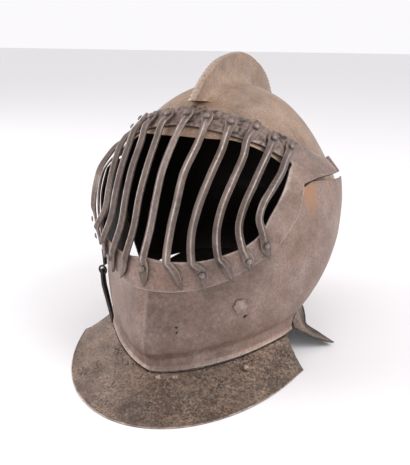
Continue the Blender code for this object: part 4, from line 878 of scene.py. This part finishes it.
def comb():
    """Blade over the median. Section points lie at named shares of the blade's height; the
    crest sinks by ROPE_DEPTH * (1 - |sin(pi * (s / ROPE_PITCH + slant))|)."""
    crest, foot, hub = median_frames(73)
    half, rows = COMB_THICKNESS / 2, []
    for c, f in zip(crest, foot):
        tall = np.linalg.norm(c - f)
        out = (c - f) / tall
        side = [skull_drop(0.0, f, hub, 0.0012), skull_drop(COMB_FOOT_SPREAD, f, hub, 0.0008)]
        for x, base in ((half * 2.3, 0.10), (half * 1.45, 0.36), (half * 1.10, 0.74)):
            side.append(skull_drop(x, f, hub, 0.0) + out * base * tall)
        side.append(f + out * (tall - 0.0016) + np.array([half * 1.02, 0, 0]))
        side.append(f + out * tall)
        rows.append(side)
    rows = np.array(rows)
    count, across = 640, 34
    t = np.linspace(0, 1, count)
    places = np.array([0.0, 0.22, 0.40, 0.58, 0.80, 0.93, 1.0])
    u = np.linspace(0, 1, across)
    fine = np.array([[smooth(places, row[:, axis], u) for axis in range(3)] for row in rows])
    section = np.stack([through(fine[:, :, k], t) for k in range(across)], 1)
    lines = section[:, [0, -1]]
    s = np.concatenate([[0], np.cumsum(np.linalg.norm(np.diff(lines[:, -1], axis=0), axis=1))])
    out = lines[:, -1] - lines[:, 0]
    out /= np.linalg.norm(out, axis=1, keepdims=True)
    crown = np.clip((u - 0.86) / 0.08, 0, 1)
    strand = np.abs(np.sin(math.pi * (s[:, None] / ROPE_PITCH + 3.2 * (1 - u))))
    cut = ROPE_DEPTH * (1 - strand ** 0.6) * crown
    section -= out[:, None] * cut[..., None]
    section[..., 0] *= 1 + 0.10 * crown * strand
    section[..., 0] = np.maximum(section[..., 0], 0)
    section[:, -1, 0] = section[:, 0, 0] = 0.0
    worn = np.exp(-((u - 1) / 0.05) ** 2) * (0.35 + 0.65 * strand)
    mirror = section[:, ::-1][:, 1:-1] * np.array([-1, 1, 1])
    whole = np.concatenate([section, mirror], 1)
    worn = np.concatenate([worn, worn[:, ::-1][:, 1:-1]], 1)
    wide = lattice_noise(whole, 0.008, 5)[..., None] - 0.5
    whole[..., :1] += np.sign(whole[..., :1]) * wide * 0.0002
    n, m = whole.shape[:2]
    i, j = np.meshgrid(np.arange(n - 1), np.arange(m), indexing="ij")
    right = (j + 1) % m
    quads = np.stack([i * m + j, i * m + right, (i + 1) * m + right, (i + 1) * m + j], -1)
    k = np.arange(1, across - 2)
    cap = np.stack([k, k + 1, m - k - 1, m - k], -1)
    tip = np.array([[0, 1, m - 1], [across - 2, across - 1, across]])
    quads = np.concatenate([quads.reshape(-1, 4), cap, cap + (n - 1) * m])
    tris = np.concatenate([tip, tip + (n - 1) * m])
    return mesh_piece("skull_comb", whole.reshape(-1, 3), quads, tris,
                      GOLDEN, ["skull"], {"worn": worn.ravel() * 0.55}, 50)


print("comb", len(comb().data.vertices), "points")

# %% [markdown]
# The frame round the face is a ring of sheet with an arm back to each temple. The table gives
# the window's edge and the outer edge side by side, so the grid's rows run from one to the
# other and its columns run once round the window.

# %% visor frame
def face_frame():
    """Ring between the window's edge and the frame's edge, VISOR_CLEARANCE above the plates."""
    table = {k: shares(VISOR_ROWS, k) for k in VISOR_ROWS[0]}
    t, loops = np.linspace(0, 1, 301), []
    for edge in ("window", "edge"):
        phi, z = np.radians(table[edge + "_turn"]), table[edge + "_z"] * SKULL_HEIGHT
        keys = np.linspace(0, 1, len(phi))
        loops.append((smooth(keys, phi, t), smooth(keys, z, t)))
    layers = []
    a = np.linspace(0, 1, 25)[:, None]
    phi = loops[0][0] * (1 - a) + loops[1][0] * a
    z = loops[0][1] * (1 - a) + loops[1][1] * a
    for layer in (VISOR_CLEARANCE + VISOR_WALL, VISOR_CLEARANCE):
        left = offset(visor_form, phi, z, layer)
        left[:, [0, -1], 0] = 0.0
        right = left[:, ::-1][:, 1:-1] * np.array([-1, 1, 1])
        layers.append(np.concatenate([left, right], 1))
    outer, inner = layers
    outer = hammered(outer, inner, 0.00035, 0.00016, 9)
    rows, cols = outer.shape[:2]
    edge = np.exp(-(a[:, 0] / 0.05) ** 2) + 0.8 * np.exp(-((1 - a[:, 0]) / 0.04) ** 2)
    worn = spread(edge[:, None] * (0.3 + 0.7 * lattice_noise(outer, 0.012, 21)), rows, cols)
    # painted shade: above 0.188 m, on the brow band, the frame is darkened by an even 0.12 and by the
    # stain noise at full strength; lower down that noise is staining at a quarter strength
    band = np.clip((outer[..., 2] - 0.188) / 0.012, 0, 1)
    stain_and_shade = lattice_noise(outer, 0.0022, 71) * (0.4 + lattice_noise(outer, 0.012, 72))
    dark = spread(np.clip(stain_and_shade * 1.5 - 0.40, 0, 0.8) * (0.25 + 0.75 * band) + 0.12 * band,
                  rows, cols)
    # painted shade: the inner layer is mixed nearly to black for the shade inside the helmet
    dark[rows + 2:] = 0.95
    quads, tris = loop_faces(2 * rows + 2, cols, True)
    points = sheet_loop(outer, inner).reshape(-1, 3)
    return mesh_piece("face_frame", points, quads, tris, BROWN, ["visor_frame"],
                      {"worn": worn.ravel(), "dark": dark.ravel()})


print("face frame", len(face_frame().data.vertices), "points")

# %% [markdown]
# The bevor closes the chin. Its keel is a straight ridge that fades upward, and the light
# breaks on it. Small holes in the plate are sunk by the wall's thickness and painted black as
# the shade seen through a hole, which reads as a hole and keeps the sheet closed. Its front is
# darkened with painted shade.

# %% bevor
RUST_PATCH = np.array([0.1040, 0.0043, 0.1582])   # orange rust behind the frame on the left cheek
RUST_SPREAD = np.array([0.012, 0.010, 0.017])


def bevor_plate():
    """Chin plate: the face form from the neck plane up to the frame's edge."""
    u = np.linspace(-1, 1, 401)
    seam_phi = np.radians(shares(VISOR_ROWS, "edge_turn")[ARM_END:][::-1])
    seam_z = shares(VISOR_ROWS, "edge_z")[ARM_END:][::-1] * SKULL_HEIGHT
    rear_h = shares(BEVOR_REAR, "height") * FACE_HEIGHT
    rear_phi = angle_at(face_form, shares(BEVOR_REAR, "y") * FACE_REAR, rear_h)
    end_phi = math.radians(BEVOR_TOP_TURN)
    rear_phi = rear_phi * end_phi / rear_phi[-1]
    under = np.arange(len(seam_z)) < len(seam_z) - 4
    tops = seam_z + np.where(under, BEVOR_UNDER, -BEVOR_TOP_GAP)
    slope = (seam_z[-1] - seam_z[-3]) / (seam_phi[-1] - seam_phi[-3])
    keys = np.append(seam_phi, end_phi)
    tops = np.append(tops, seam_z[-1] - BEVOR_TOP_GAP + slope * (end_phi - seam_phi[-1]))
    top_phi = np.abs(u) * end_phi
    top_z, top_h = smooth(keys, tops, top_phi), np.zeros(len(u))
    for _ in range(12):
        top_h = top_h + (top_z - face_form(top_phi, top_h)[..., 2])
    h = np.linspace(0, 1, 110)[:, None] ** 1.25 * top_h[None, :]
    phi = u[None, :] * smooth(rear_h, rear_phi, h)
    outer, inner = face_form(phi, h), offset(face_form, phi, h, -BEVOR_WALL)
    outer = hammered(outer, inner, 0.0004, 0.00014, 14)
    # painted shade: each hole is a dimple whose dark share rises to full, standing in for the shade
    # seen through it
    dark_outer = np.zeros(outer.shape[:2])
    for turn, z, radius in BEVOR_HOLES[1:]:
        centre = face_at(np.array([math.radians(turn)]), np.array([z * SKULL_HEIGHT]))[0]
        away = np.linalg.norm(outer - centre, axis=-1) / (BEVOR_HOLE * radius)
        dark_outer = np.maximum(dark_outer, np.clip((1.25 - away) / 0.35, 0, 1))
    outer = outer + (inner - outer) * (0.8 * dark_outer)[..., None]
    # painted shade: ahead of y -0.015 the bevor is darkened more toward the chin, fully on the
    # wearer's left of the keel and a quarter on the right, broken up by noise
    front = np.clip((-0.015 - outer[..., 1]) / 0.055, 0, 1) * np.clip(outer[..., 0] / 0.004 + 0.5,
                                                                      0.25, 1)
    grime_and_painted_shade = front * (0.14 + 0.24 * lattice_noise(outer, 0.0025, 47) * 1.2)
    rows, cols = outer.shape[:2]
    dark = spread(np.maximum(dark_outer, grime_and_painted_shade), rows, cols)
    # painted shade: the inner layer is mixed nearly to black for the shade inside the helmet
    dark[rows + 2:] = 0.95
    patch = np.linalg.norm((outer - RUST_PATCH) / RUST_SPREAD, axis=-1)
    ragged = 1.25 * lattice_noise(outer, 0.004, 44) + 0.5 * lattice_noise(outer, 0.0012, 45)
    rusty = spread(np.clip(np.exp(-patch ** 2) * ragged * 1.3 - 0.12, 0, 0.85), rows, cols)
    keel = np.exp(-(outer[..., 0] / 0.0016) ** 2) * (outer[..., 1] < 0)
    edge = np.exp(-(np.linspace(0, 1, rows)[:, None] / 0.02) ** 2)
    worn = spread(0.16 * keel + 0.4 * edge, rows, cols)
    quads, tris = loop_faces(2 * rows + 2, cols, False)
    points = sheet_loop(outer, inner).reshape(-1, 3)
    return mesh_piece("bevor_plate", points, quads, tris, BROWN, ["bevor"],
                      {"worn": worn.ravel(), "dark": dark.ravel(), "rusty": rusty.ravel()})


print("bevor", len(bevor_plate().data.vertices), "points")

# %% [markdown]
# The gorget plates flare from the neck to a thin turned rim. They have lain in damp for long,
# so they are the most pitted pieces: the pits are geometry here, a grid fine enough for them.

# %% gorget plates
def rim_front(phi):
    """Rim of the front gorget plate on the floor."""
    y = RIM_CENTRE_Y - RIM_FRONT * np.cos(phi)
    x = RIM_HALF_WIDTH * np.sin(phi) + RIM_SKEW * np.clip(-y - 0.3 * FACE_FRONT, 0, None)
    return np.stack([x, y, 0 * x], -1)


def neck_edge(phi):
    """Outer lower edge of the bevor."""
    return face_form(phi, np.zeros_like(phi))


def corner_angle(curve, y):
    """Angle at which a plan curve reaches y."""
    low, high = 0.0, math.pi
    for _ in range(40):
        mid = 0.5 * (low + high)
        low, high = (mid, high) if curve(np.array([mid]))[0, 1] < y else (low, mid)
    return 0.5 * (low + high)


def thicken(grid, wall):
    """The grid moved inward along its normals; rows run outward from the neck."""
    along = np.gradient(grid, axis=1)
    down = np.gradient(grid, axis=0)
    n = np.cross(along, down)
    n /= np.maximum(np.linalg.norm(n, axis=-1, keepdims=True), 1e-12)
    n *= np.where(n[..., 2:] < 0, -1, 1)
    return grid - n * wall


def gorget_sheet(name, node, edge, inset, rim, dish, seed):
    """Flare from edge to rim: height falls as (1 - v)**dish while the plan runs straight."""
    v = np.linspace(0, 1, 74)[:, None]
    body = edge[None] * (1 - v[..., None]) + rim[None] * v[..., None]
    body[..., 2] = rim[:, 2] + (edge[:, 2] - rim[:, 2]) * (1 - v) ** dish
    body[..., 2] += GORGET_WALL * (0.05 + 0.55 * v)
    lip = np.clip((v - 0.975) / 0.025, 0, 1)
    body[..., 2] += 0.0004 * lip * (1 - lip) * 4
    outer = np.concatenate([np.linspace(0, 1, 4)[:-1, None, None] * (edge - inset) + inset, body])
    inner = thicken(outer, GORGET_WALL)
    inner[-1] = rim
    inner[..., 2] = np.maximum(inner[..., 2], rim[:, 2])
    outer = hammered(outer, inner, 0.0005, 0.00045, seed)
    outer[..., 2] = np.maximum(outer[..., 2], rim[:, 2] + 0.0003)
    rows, cols = outer.shape[:2]
    share = np.concatenate([np.zeros((3, 1)), v])
    worn = np.exp(-((share - 1) / 0.02) ** 2) * (0.2 + 0.8 * lattice_noise(outer, 0.01, seed))
    speck = lattice_noise(outer, 0.0015, seed + 7) * (0.35 + lattice_noise(outer, 0.02, seed + 8))
    # painted shade: the specks and an even 0.06 of dark are full on the wearer's left, x above 0.02,
    # and a fifth as strong on the wearer's right; the specks themselves are grime
    left = np.clip((outer[..., 0] + 0.03) / 0.05, 0.2, 1)
    dark = spread(np.clip(speck * 1.5 - 0.40, 0, 0.5) * left + 0.06 * left, rows, cols)
    # painted shade: the inner layer is mixed nearly to black for the shade inside the helmet
    dark[rows + 2:] = 0.9
    quads, tris = loop_faces(2 * rows + 2, cols, False)
    return mesh_piece(name, sheet_loop(outer, inner, 0.15).reshape(-1, 3), quads, tris, PITTED,
                      [node],
                      {"worn": spread(worn, rows, cols).ravel(), "dark": dark.ravel()})


def front_gorget():
    """Broad flare under the chin between its two cut ends."""
    u = np.linspace(-1, 1, 430)
    top, low = (np.where(u < 0, u * corner_angle(curve, GORGET_RIGHT_END[k]),
                         u * corner_angle(curve, GORGET_LEFT_END[k]))
                for k, curve in enumerate((neck_edge, rim_front)))
    edge = neck_edge(top)
    edge[:, 2] -= GORGET_DROP
    inset = edge - np.stack([np.sin(top), -np.cos(top), 0 * top], -1) * GORGET_TUCK
    inset[:, 2] -= GAP
    return gorget_sheet("gorget_front_plate", "gorget_front", edge, inset, rim_front(low),
                        np.full(len(u), GORGET_FRONT_DISH), 31)


def rear_gorget():
    """Narrow flare round the nape, pointed at each front corner."""
    u = np.linspace(-1, 1, 401)
    top = np.stack([shares(REAR_TOP, "x") * REAR_TIP_X, shares(REAR_TOP, "y") * REAR_REACH,
                    shares(REAR_TOP, "z") * SKULL_FOOT], -1)
    sides = np.stack([np.sign(u), 0 * u + 1, 0 * u + 1], -1)
    edge = through(top, 1 - np.abs(u)) * sides
    away = (edge - np.array([0.0, 0.35 * REAR_REACH, 0.0])) * np.array([1, 1, 0])
    away /= np.linalg.norm(away, axis=1, keepdims=True)
    inset = edge - away * GORGET_TUCK
    inset[:, 2] += 0.006    # the hidden edge runs up inside the skull and shuts out the light
    points = np.stack([shares(REAR_RIM, "x") * REAR_TIP_X,
                       shares(REAR_RIM, "y") * REAR_REACH], -1)
    plan = through(points, 1 - np.abs(u))
    lift = REAR_TIP_LIFT * np.clip(1 - (1 - np.abs(u)) / 0.3, 0, 1)
    rim = np.stack([plan[:, 0] * np.sign(u), plan[:, 1], lift], -1)
    wing = np.clip(1 - (1 - np.abs(u)) / 0.2, 0, 1)
    dish = GORGET_REAR_DISH * (1 - wing) + GORGET_FRONT_DISH * wing
    return gorget_sheet("gorget_rear_plate", "gorget_rear", edge, inset, rim, dish, 37)


GAP = 0.0003
for plate in (front_gorget(), rear_gorget()):
    print(plate.name, len(plate.data.vertices), "points")

# %% [markdown]
# The bars were forged with a ridge, flattened to a leaf at each end and riveted. Each is a
# section swept along its ridge line; the section slides from a ridged run to a flat leaf. A
# little noise in the width keeps eleven bars from looking stamped.

# %% bars
def grille_point(x, z):
    """Front of the grille at lateral x and height z, with its outward normal."""
    def at(x, z):
        up = shares(GRILLE_ROWS, "height") * SKULL_HEIGHT
        ahead, width, power = (smooth(up, shares(GRILLE_ROWS, k), z)
                               for k in ("front", "width", "power"))
        front = -ahead * GRILLE_REACH
        q = np.clip(np.abs(x) / (width * GRILLE_HALF_WIDTH), 0, 0.999)
        centre = 0.256 * FACE_REAR
        return np.array([x, centre - (centre - front) * (1 - q ** power) ** (1 / power), z])
    e = 1e-4
    p = at(x, z)
    n = np.cross(at(x + e, z) - at(x - e, z), at(x, z + e) - at(x, z - e))
    n /= np.linalg.norm(n)
    return p, n if n[1] < 0 else -n


def visor_point(x, z, distance):
    """Point on a layer over the visor form that has lateral place x and height z, and normal."""
    seek_x, seek_z = abs(x), z
    turns = np.linspace(0.0, math.radians(100.0), 240)
    for _ in range(6):
        zs = np.array([seek_z])
        places = visor_form(turns, np.full_like(turns, seek_z))[:, 0]
        last = int(places.argmax()) + 1
        phi = np.array([float(np.interp(seek_x, places[:last], turns[:last]))])
        p = offset(visor_form, phi, zs, distance)[0]
        seek_x, seek_z = max(seek_x + abs(x) - p[0], 0.0), seek_z + z - p[2]
    n = p - offset(visor_form, phi, zs, distance - 1e-3)[0]
    n /= np.linalg.norm(n)
    side = 1 if x >= 0 else -1
    return p * np.array([side, 1, 1]), n * np.array([side, 1, 1])


def bar_path(row):
    """Knots of a bar's ridge line: point, normal, width, depth and how flat it is there."""
    names = BAR_ROWS[0]
    x = {k: row[names.index(k)] * GRILLE_HALF_WIDTH for k in names[:9]}
    z = {k: row[names.index(k)] * SKULL_HEIGHT for k in names[9:]}
    seat = VISOR_CLEARANCE + VISOR_WALL + LEAF_SEAT
    leaf, bar = LEAF_DEPTH, BAR_DEPTH
    over = seat + bar + BAR_STANDOFF

    def on_frame(x, z, height, width, depth, flat):
        return (*visor_point(x, z, height), width, depth, flat)

    def on_grille(x, z, width, depth):
        """On the grille form, or over the frame where a bar runs close along its window."""
        free, clear = grille_point(x, z), visor_point(x, z, over)
        near = x > GRILLE_HUG * GRILLE_HALF_WIDTH and clear[0][1] < free[0][1]
        return (*(clear if near else free), width, depth, 0.0)

    drop = z["brow_z"] - z["sill_z"]
    lean = x["top"] - x["brow"]
    top, low, tip = z["top_z"], z["low_z"], z["tip_z"]
    knots = [
        on_frame(x["top"] + lean * 0.2, top + LEAF_END, seat + leaf, LEAF_WIDTH * 0.55, leaf, 1.0),
        on_frame(x["top"] + lean * 0.1, top + LEAF_END * 0.5, seat + leaf, LEAF_WIDTH * 0.90,
                 leaf, 1.0),
        on_frame(x["top"], top, seat + leaf, LEAF_WIDTH, leaf, 1.0),
        on_frame(x["top"] - lean * 0.35, top * 0.65 + z["brow_z"] * 0.35, seat + leaf * 1.15,
                 LEAF_WIDTH * 0.88, leaf * 1.1, 0.8),
        on_frame(x["brow"], z["brow_z"], over, BAR_WIDTH * 1.02, bar, 0.1),
    ]
    for share, name in zip(RUN_PLACES, ("upper", "middle", "bulge", "foot")):
        knots.append(on_grille(x[name], z["brow_z"] - drop * share, BAR_WIDTH, bar))
    tail = z["sill_z"] - low
    knots += [
        on_frame(x["sill"], z["sill_z"], over - BAR_STANDOFF * 0.5, BAR_WIDTH, bar, 0.1),
        on_frame(x["sill"] * 0.5 + x["low"] * 0.5, low + tail * 0.5, seat + leaf * 1.4,
                 LEAF_WIDTH * 0.80, leaf * 1.35, 0.5),
        on_frame(x["low"], low, seat + leaf, LEAF_WIDTH * 0.95, leaf, 1.0),
        on_frame(x["low"] * 0.55 + x["tip"] * 0.45, low * 0.5 + tip * 0.5, seat + leaf,
                 LEAF_WIDTH * 0.66, leaf, 1.0),
        on_frame(x["tip"], tip, seat + leaf * 0.9, LEAF_WIDTH * 0.18, leaf * 0.85, 1.0),
    ]
    return knots


def sweep_solid(line, normal, sections):
    """Closed solid: sections (station, point, across and up) carried along a line."""
    tangent = np.gradient(line, axis=0)
    tangent /= np.linalg.norm(tangent, axis=1, keepdims=True)
    normal = normal - tangent * (normal * tangent).sum(1, keepdims=True)
    normal /= np.linalg.norm(normal, axis=1, keepdims=True)
    across = np.cross(tangent, normal)
    points = (line[:, None] + across[:, None] * sections[..., :1]
              + normal[:, None] * sections[..., 1:])
    n, m = sections.shape[:2]
    i, j = np.meshgrid(np.arange(n - 1), np.arange(m), indexing="ij")
    right = (j + 1) % m
    quads = np.stack([i * m + j, i * m + right, (i + 1) * m + right, (i + 1) * m + j], -1)
    centres = points[[0, -1]].mean(1)
    k = np.arange(m)
    fans = [np.stack([k, (k + 1) % m, np.full(m, n * m)], -1),
            np.stack([k + (n - 1) * m, (k + 1) % m + (n - 1) * m, np.full(m, n * m + 1)], -1)]
    return (np.concatenate([points.reshape(-1, 3), centres]), quads.reshape(-1, 4),
            np.concatenate(fans))


def bar_piece(tag, knots, side, seed):
    """One bar: its top is shoulder * (sqrt(q*q + e*e) - e) over q from edge to edge, e 0.1."""
    flip = np.array([side, 1, 1])
    line = np.array([k[0] for k in knots]) * flip
    normal = np.array([k[1] for k in knots]) * flip
    size = np.array([k[2:] for k in knots])
    s = np.concatenate([[0], np.cumsum(np.linalg.norm(np.diff(line, axis=0), axis=1))])
    s /= s[-1]
    t = np.linspace(0, 1, 170)
    size = np.stack([smooth(s, size[:, k], t) for k in range(3)], -1)
    normal = np.stack([smooth(s, normal[:, k], t) for k in range(3)], -1)
    line = through(line, t)
    width, depth, flat = size[:, :1], size[:, 1:2], size[:, 2:]
    width = width * (0.95 + 0.05 * lattice_noise(line, 0.006, seed)[:, None])
    shoulder = depth * (0.58 * (1 - flat) + 0.14 * flat)
    q = np.concatenate([np.linspace(-1, -0.2, 7), np.linspace(-0.12, 0.12, 5),
                        np.linspace(0.2, 1, 7)])[None]
    top = -shoulder * (np.sqrt(q * q + 0.01) - 0.1) / (math.sqrt(1.01) - 0.1)
    top = top - (depth + top) * 0.22 * np.clip((np.abs(q) - 0.85) / 0.15, 0, 1)
    under = np.array([0.93, 0.4, -0.4, -0.93])[None]
    x = np.concatenate([q + 0 * width, under + 0 * width], 1) * width / 2
    y = np.concatenate([top, -depth + 0 * (under + width)], 1)
    points, quads, tris = sweep_solid(line, normal, np.stack([x, y], -1))
    n, m = x.shape
    ridge = np.exp(-(q / 0.16) ** 2) * (1 - 0.75 * flat)
    rim = 0.5 * np.clip((np.abs(q) - 0.8) / 0.2, 0, 1)
    worn = np.zeros((n, m))
    worn[:, :q.shape[1]] = ridge + rim
    worn *= 0.25 + 0.9 * lattice_noise(points[:-2].reshape(n, m, 3), 0.012, seed + 5)
    mesh_piece("bar_%s_forged" % tag, points, quads, tris, WORN, ["bar_" + tag],
               {"worn": np.append(np.clip(worn.ravel(), 0, 1), [0, 0])}, 32)
    return line


def dome(name, node, seat, normal, radius, rise, look, seed, lobes=0):
    """Rivet head: rings at angle a of a quarter circle, radius cos(a), height sin(a). lobes
    pinches the outline into petals."""
    n = normal / np.linalg.norm(normal)
    u = np.cross(n, (0.0, 0.0, 1.0))
    u /= np.linalg.norm(u)
    v = np.cross(n, u)
    a = np.linspace(0, 0.96, 9)[:, None] * math.pi / 2
    b = np.arange(36)[None] * math.pi / 18
    r = np.cos(a) * (1 + 0.05 * (lattice_noise(np.stack([np.cos(b), np.sin(b), 0 * b], -1),
                                               0.9, seed) - 0.6))
    if lobes:
        r = r * (0.93 + 0.07 * np.cos(lobes * b)) * np.where(np.sin(a) > 0.62, 0.9, 1.0)
        h = rise * (0.62 * np.clip(np.sin(a) * 2.4, 0, 1) + 0.38 * np.clip(np.sin(a) * 4 - 2.8, 0, 1))
    else:
        h = rise * np.sin(a)
    ring = seat + (r * np.cos(b))[..., None] * u * radius + (r * np.sin(b))[..., None] * v * radius
    ring = ring + (h + 0 * b)[..., None] * n
    points = np.concatenate([ring.reshape(-1, 3), [seat, seat + n * rise]])
    i, j = np.meshgrid(np.arange(8), np.arange(36), indexing="ij")
    right = (j + 1) % 36
    quads = np.stack([i * 36 + j, i * 36 + right, (i + 1) * 36 + right, (i + 1) * 36 + j], -1)
    k = np.arange(36)
    tris = np.concatenate([np.stack([(k + 1) % 36, k, np.full(36, 324)], -1),
                           np.stack([k + 288, (k + 1) % 36 + 288, np.full(36, 325)], -1)])
    worn = np.append(np.broadcast_to(np.sin(a) ** 3 * 0.28, (9, 36)).ravel(), [0, 0.28])
    mesh_piece(name, points, quads.reshape(-1, 4), tris, look, [node], {"worn": worn}, 45)


for index in range(len(BAR_ROWS) - 1):
    knots = bar_path(BAR_ROWS[1 + index])
    for side in ((1,) if index == 0 else (1, -1)):
        tag = "middle" if index == 0 else ("left_%d" if side > 0 else "right_%d") % index
        bar_piece(tag, knots, side, 50 + 3 * index + side)
        for end, k in [("top", 2)] if index in FLUSH_LOWER else [("top", 2), ("low", 11)]:
            flip = np.array([side, 1, 1])
            n = knots[k][1] / np.linalg.norm(knots[k][1]) * flip
            name = "rivet_%s_%s" % (end, tag)
            dome(name + "_head", name, knots[k][0] * flip + n * RIVET_SEAT, n, RIVET_RADIUS,
                 RIVET_RISE, WORN, 90 + index)
print("bars", len(BAR_ROWS) * 2 - 3, "reach", round(float(knots[7][0][1]), 4))

# %% [markdown]
# Rivets hold the front gorget, and a six-lobed head stands on the wearer's left cheek. They
# are quarter-circle lathes stood on the plate's normal, the last with its outline pinched.

# %% rivets of the plates
def face_point(turn, z, distance):
    """Point and normal on a layer over the face form, at a plan angle in degrees."""
    phi, zs = np.array([math.radians(turn)]), np.array([z])
    p = offset(face_at, phi, zs, distance)[0]
    n = p - offset(face_at, phi, zs, distance - 1e-3)[0]
    return p, n / np.linalg.norm(n)


for k, (turn, out) in enumerate(GORGET_RIVETS[1:]):
    a = math.radians(turn)
    ends = [neck_edge(np.array([a]))[0], rim_front(np.array([a]))[0]]
    p = ends[0] * (1 - out) + ends[1] * out
    p[2] = ends[0][2] * (1 - out) ** GORGET_FRONT_DISH + GORGET_WALL * 0.1
    e = ends[1] - ends[0]
    e[2] = -GORGET_FRONT_DISH * ends[0][2]
    n = np.cross(np.array([math.cos(a), math.sin(a), 0.0]), e)
    n = n / np.linalg.norm(n) * np.sign(n[2])
    name = "rivet_gorget_%d" % (k + 1)
    dome(name + "_head", name, p + n * (GAP * 2 + RIVET_SEAT), n, RIVET_RADIUS, RIVET_RISE,
         PITTED, 120 + k)
p, n = face_point(ROSETTE_TURN, ROSETTE_Z * SKULL_HEIGHT, GAP)
dome("rosette_head", "rosette", p, n, ROSETTE_RADIUS, ROSETTE_RISE, BROWN, 130, 6)
print("rosette at", p.round(4))

# %% [markdown]
# The hook, its strap and the temple barrels are small and plainly shaped, so their CAD solids
# stay and only take a better finish.

# %% finishes of the small parts
for node, look in (("hook", BLACK), ("hook_strap", BLACK), ("temple_barrel_left", BROWN),
                   ("temple_barrel_right", BROWN)):
    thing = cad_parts[node]
    for k in range(len(thing.material_slots)):
        thing.material_slots[k].material = look
print("small parts done")

# %% [markdown]
# The picture: a pale floor that runs out of sight, a pale world that lights from everywhere,
# and a broad soft light at each side. The front of the helmet gets the least, so the keel shows.

# %% floor and light
def area_light(name, place, aim, size, power):
    """A square area light at place, aimed at a point."""
    data = bpy.data.lights.new(name, "AREA")
    data.size, data.energy = size, power
    made = bpy.data.objects.new(name, data)
    made.location = place
    made.rotation_euler = (Vector(aim) - Vector(place)).to_track_quat("-Z", "Y").to_euler()
    bpy.context.scene.collection.objects.link(made)
    return made


mesh = bpy.data.meshes.new("floor")
mesh.from_pydata([(-8, -8, 0), (8, -8, 0), (8, 8, 0), (-8, 8, 0)], [], [(0, 1, 2, 3)])
floor = bpy.data.objects.new("floor", mesh)
bpy.context.scene.collection.objects.link(floor)
pale = bpy.data.materials.new("pale floor")
pale.use_nodes = True
pale.node_tree.nodes["Principled BSDF"].inputs["Base Color"].default_value = (0.80, 0.79, 0.80, 1)
pale.node_tree.nodes["Principled BSDF"].inputs["Roughness"].default_value = 0.9
mesh.materials.append(pale)

world = bpy.data.worlds.new("studio")
world.use_nodes = True
world.node_tree.nodes["Background"].inputs["Color"].default_value = (0.965, 0.95, 0.97, 1)
world.node_tree.nodes["Background"].inputs["Strength"].default_value = 1.0
bpy.context.scene.world = world
area_light("key", (1.3, -0.1, 1.3), (0, 0, 0.12), 1.0, 16)
area_light("fill", (-1.5, -0.5, 0.9), (0, 0, 0.12), 1.0, 17)
bpy.context.scene.view_settings.view_transform = "Standard"

# %% [markdown]
# The camera stands where the photograph was taken from: low, to the wearer's left of the face,
# about 0.6 m away.

# %% camera
AZIMUTH, ELEVATION, ROLL = 26.5, 18.4, 0.3
camera = bpy.data.cameras.new("camera")
camera.sensor_fit, camera.sensor_width, camera.lens = "HORIZONTAL", 36.0, 53.32
eye = bpy.data.objects.new("camera", camera)
a, e = math.radians(AZIMUTH), math.radians(ELEVATION)
back = Vector((math.sin(a) * math.cos(e), -math.cos(a) * math.cos(e), math.sin(e)))
eye.location = (0.2506, -0.5096, 0.2918)
eye.rotation_mode = "QUATERNION"
turned = (-back).to_track_quat("-Z", "Y")
eye.rotation_quaternion = turned
camera.clip_start, camera.clip_end = 0.01, 30.0
bpy.context.scene.collection.objects.link(eye)
bpy.context.scene.camera = eye
print("camera", [round(c, 3) for c in eye.location])
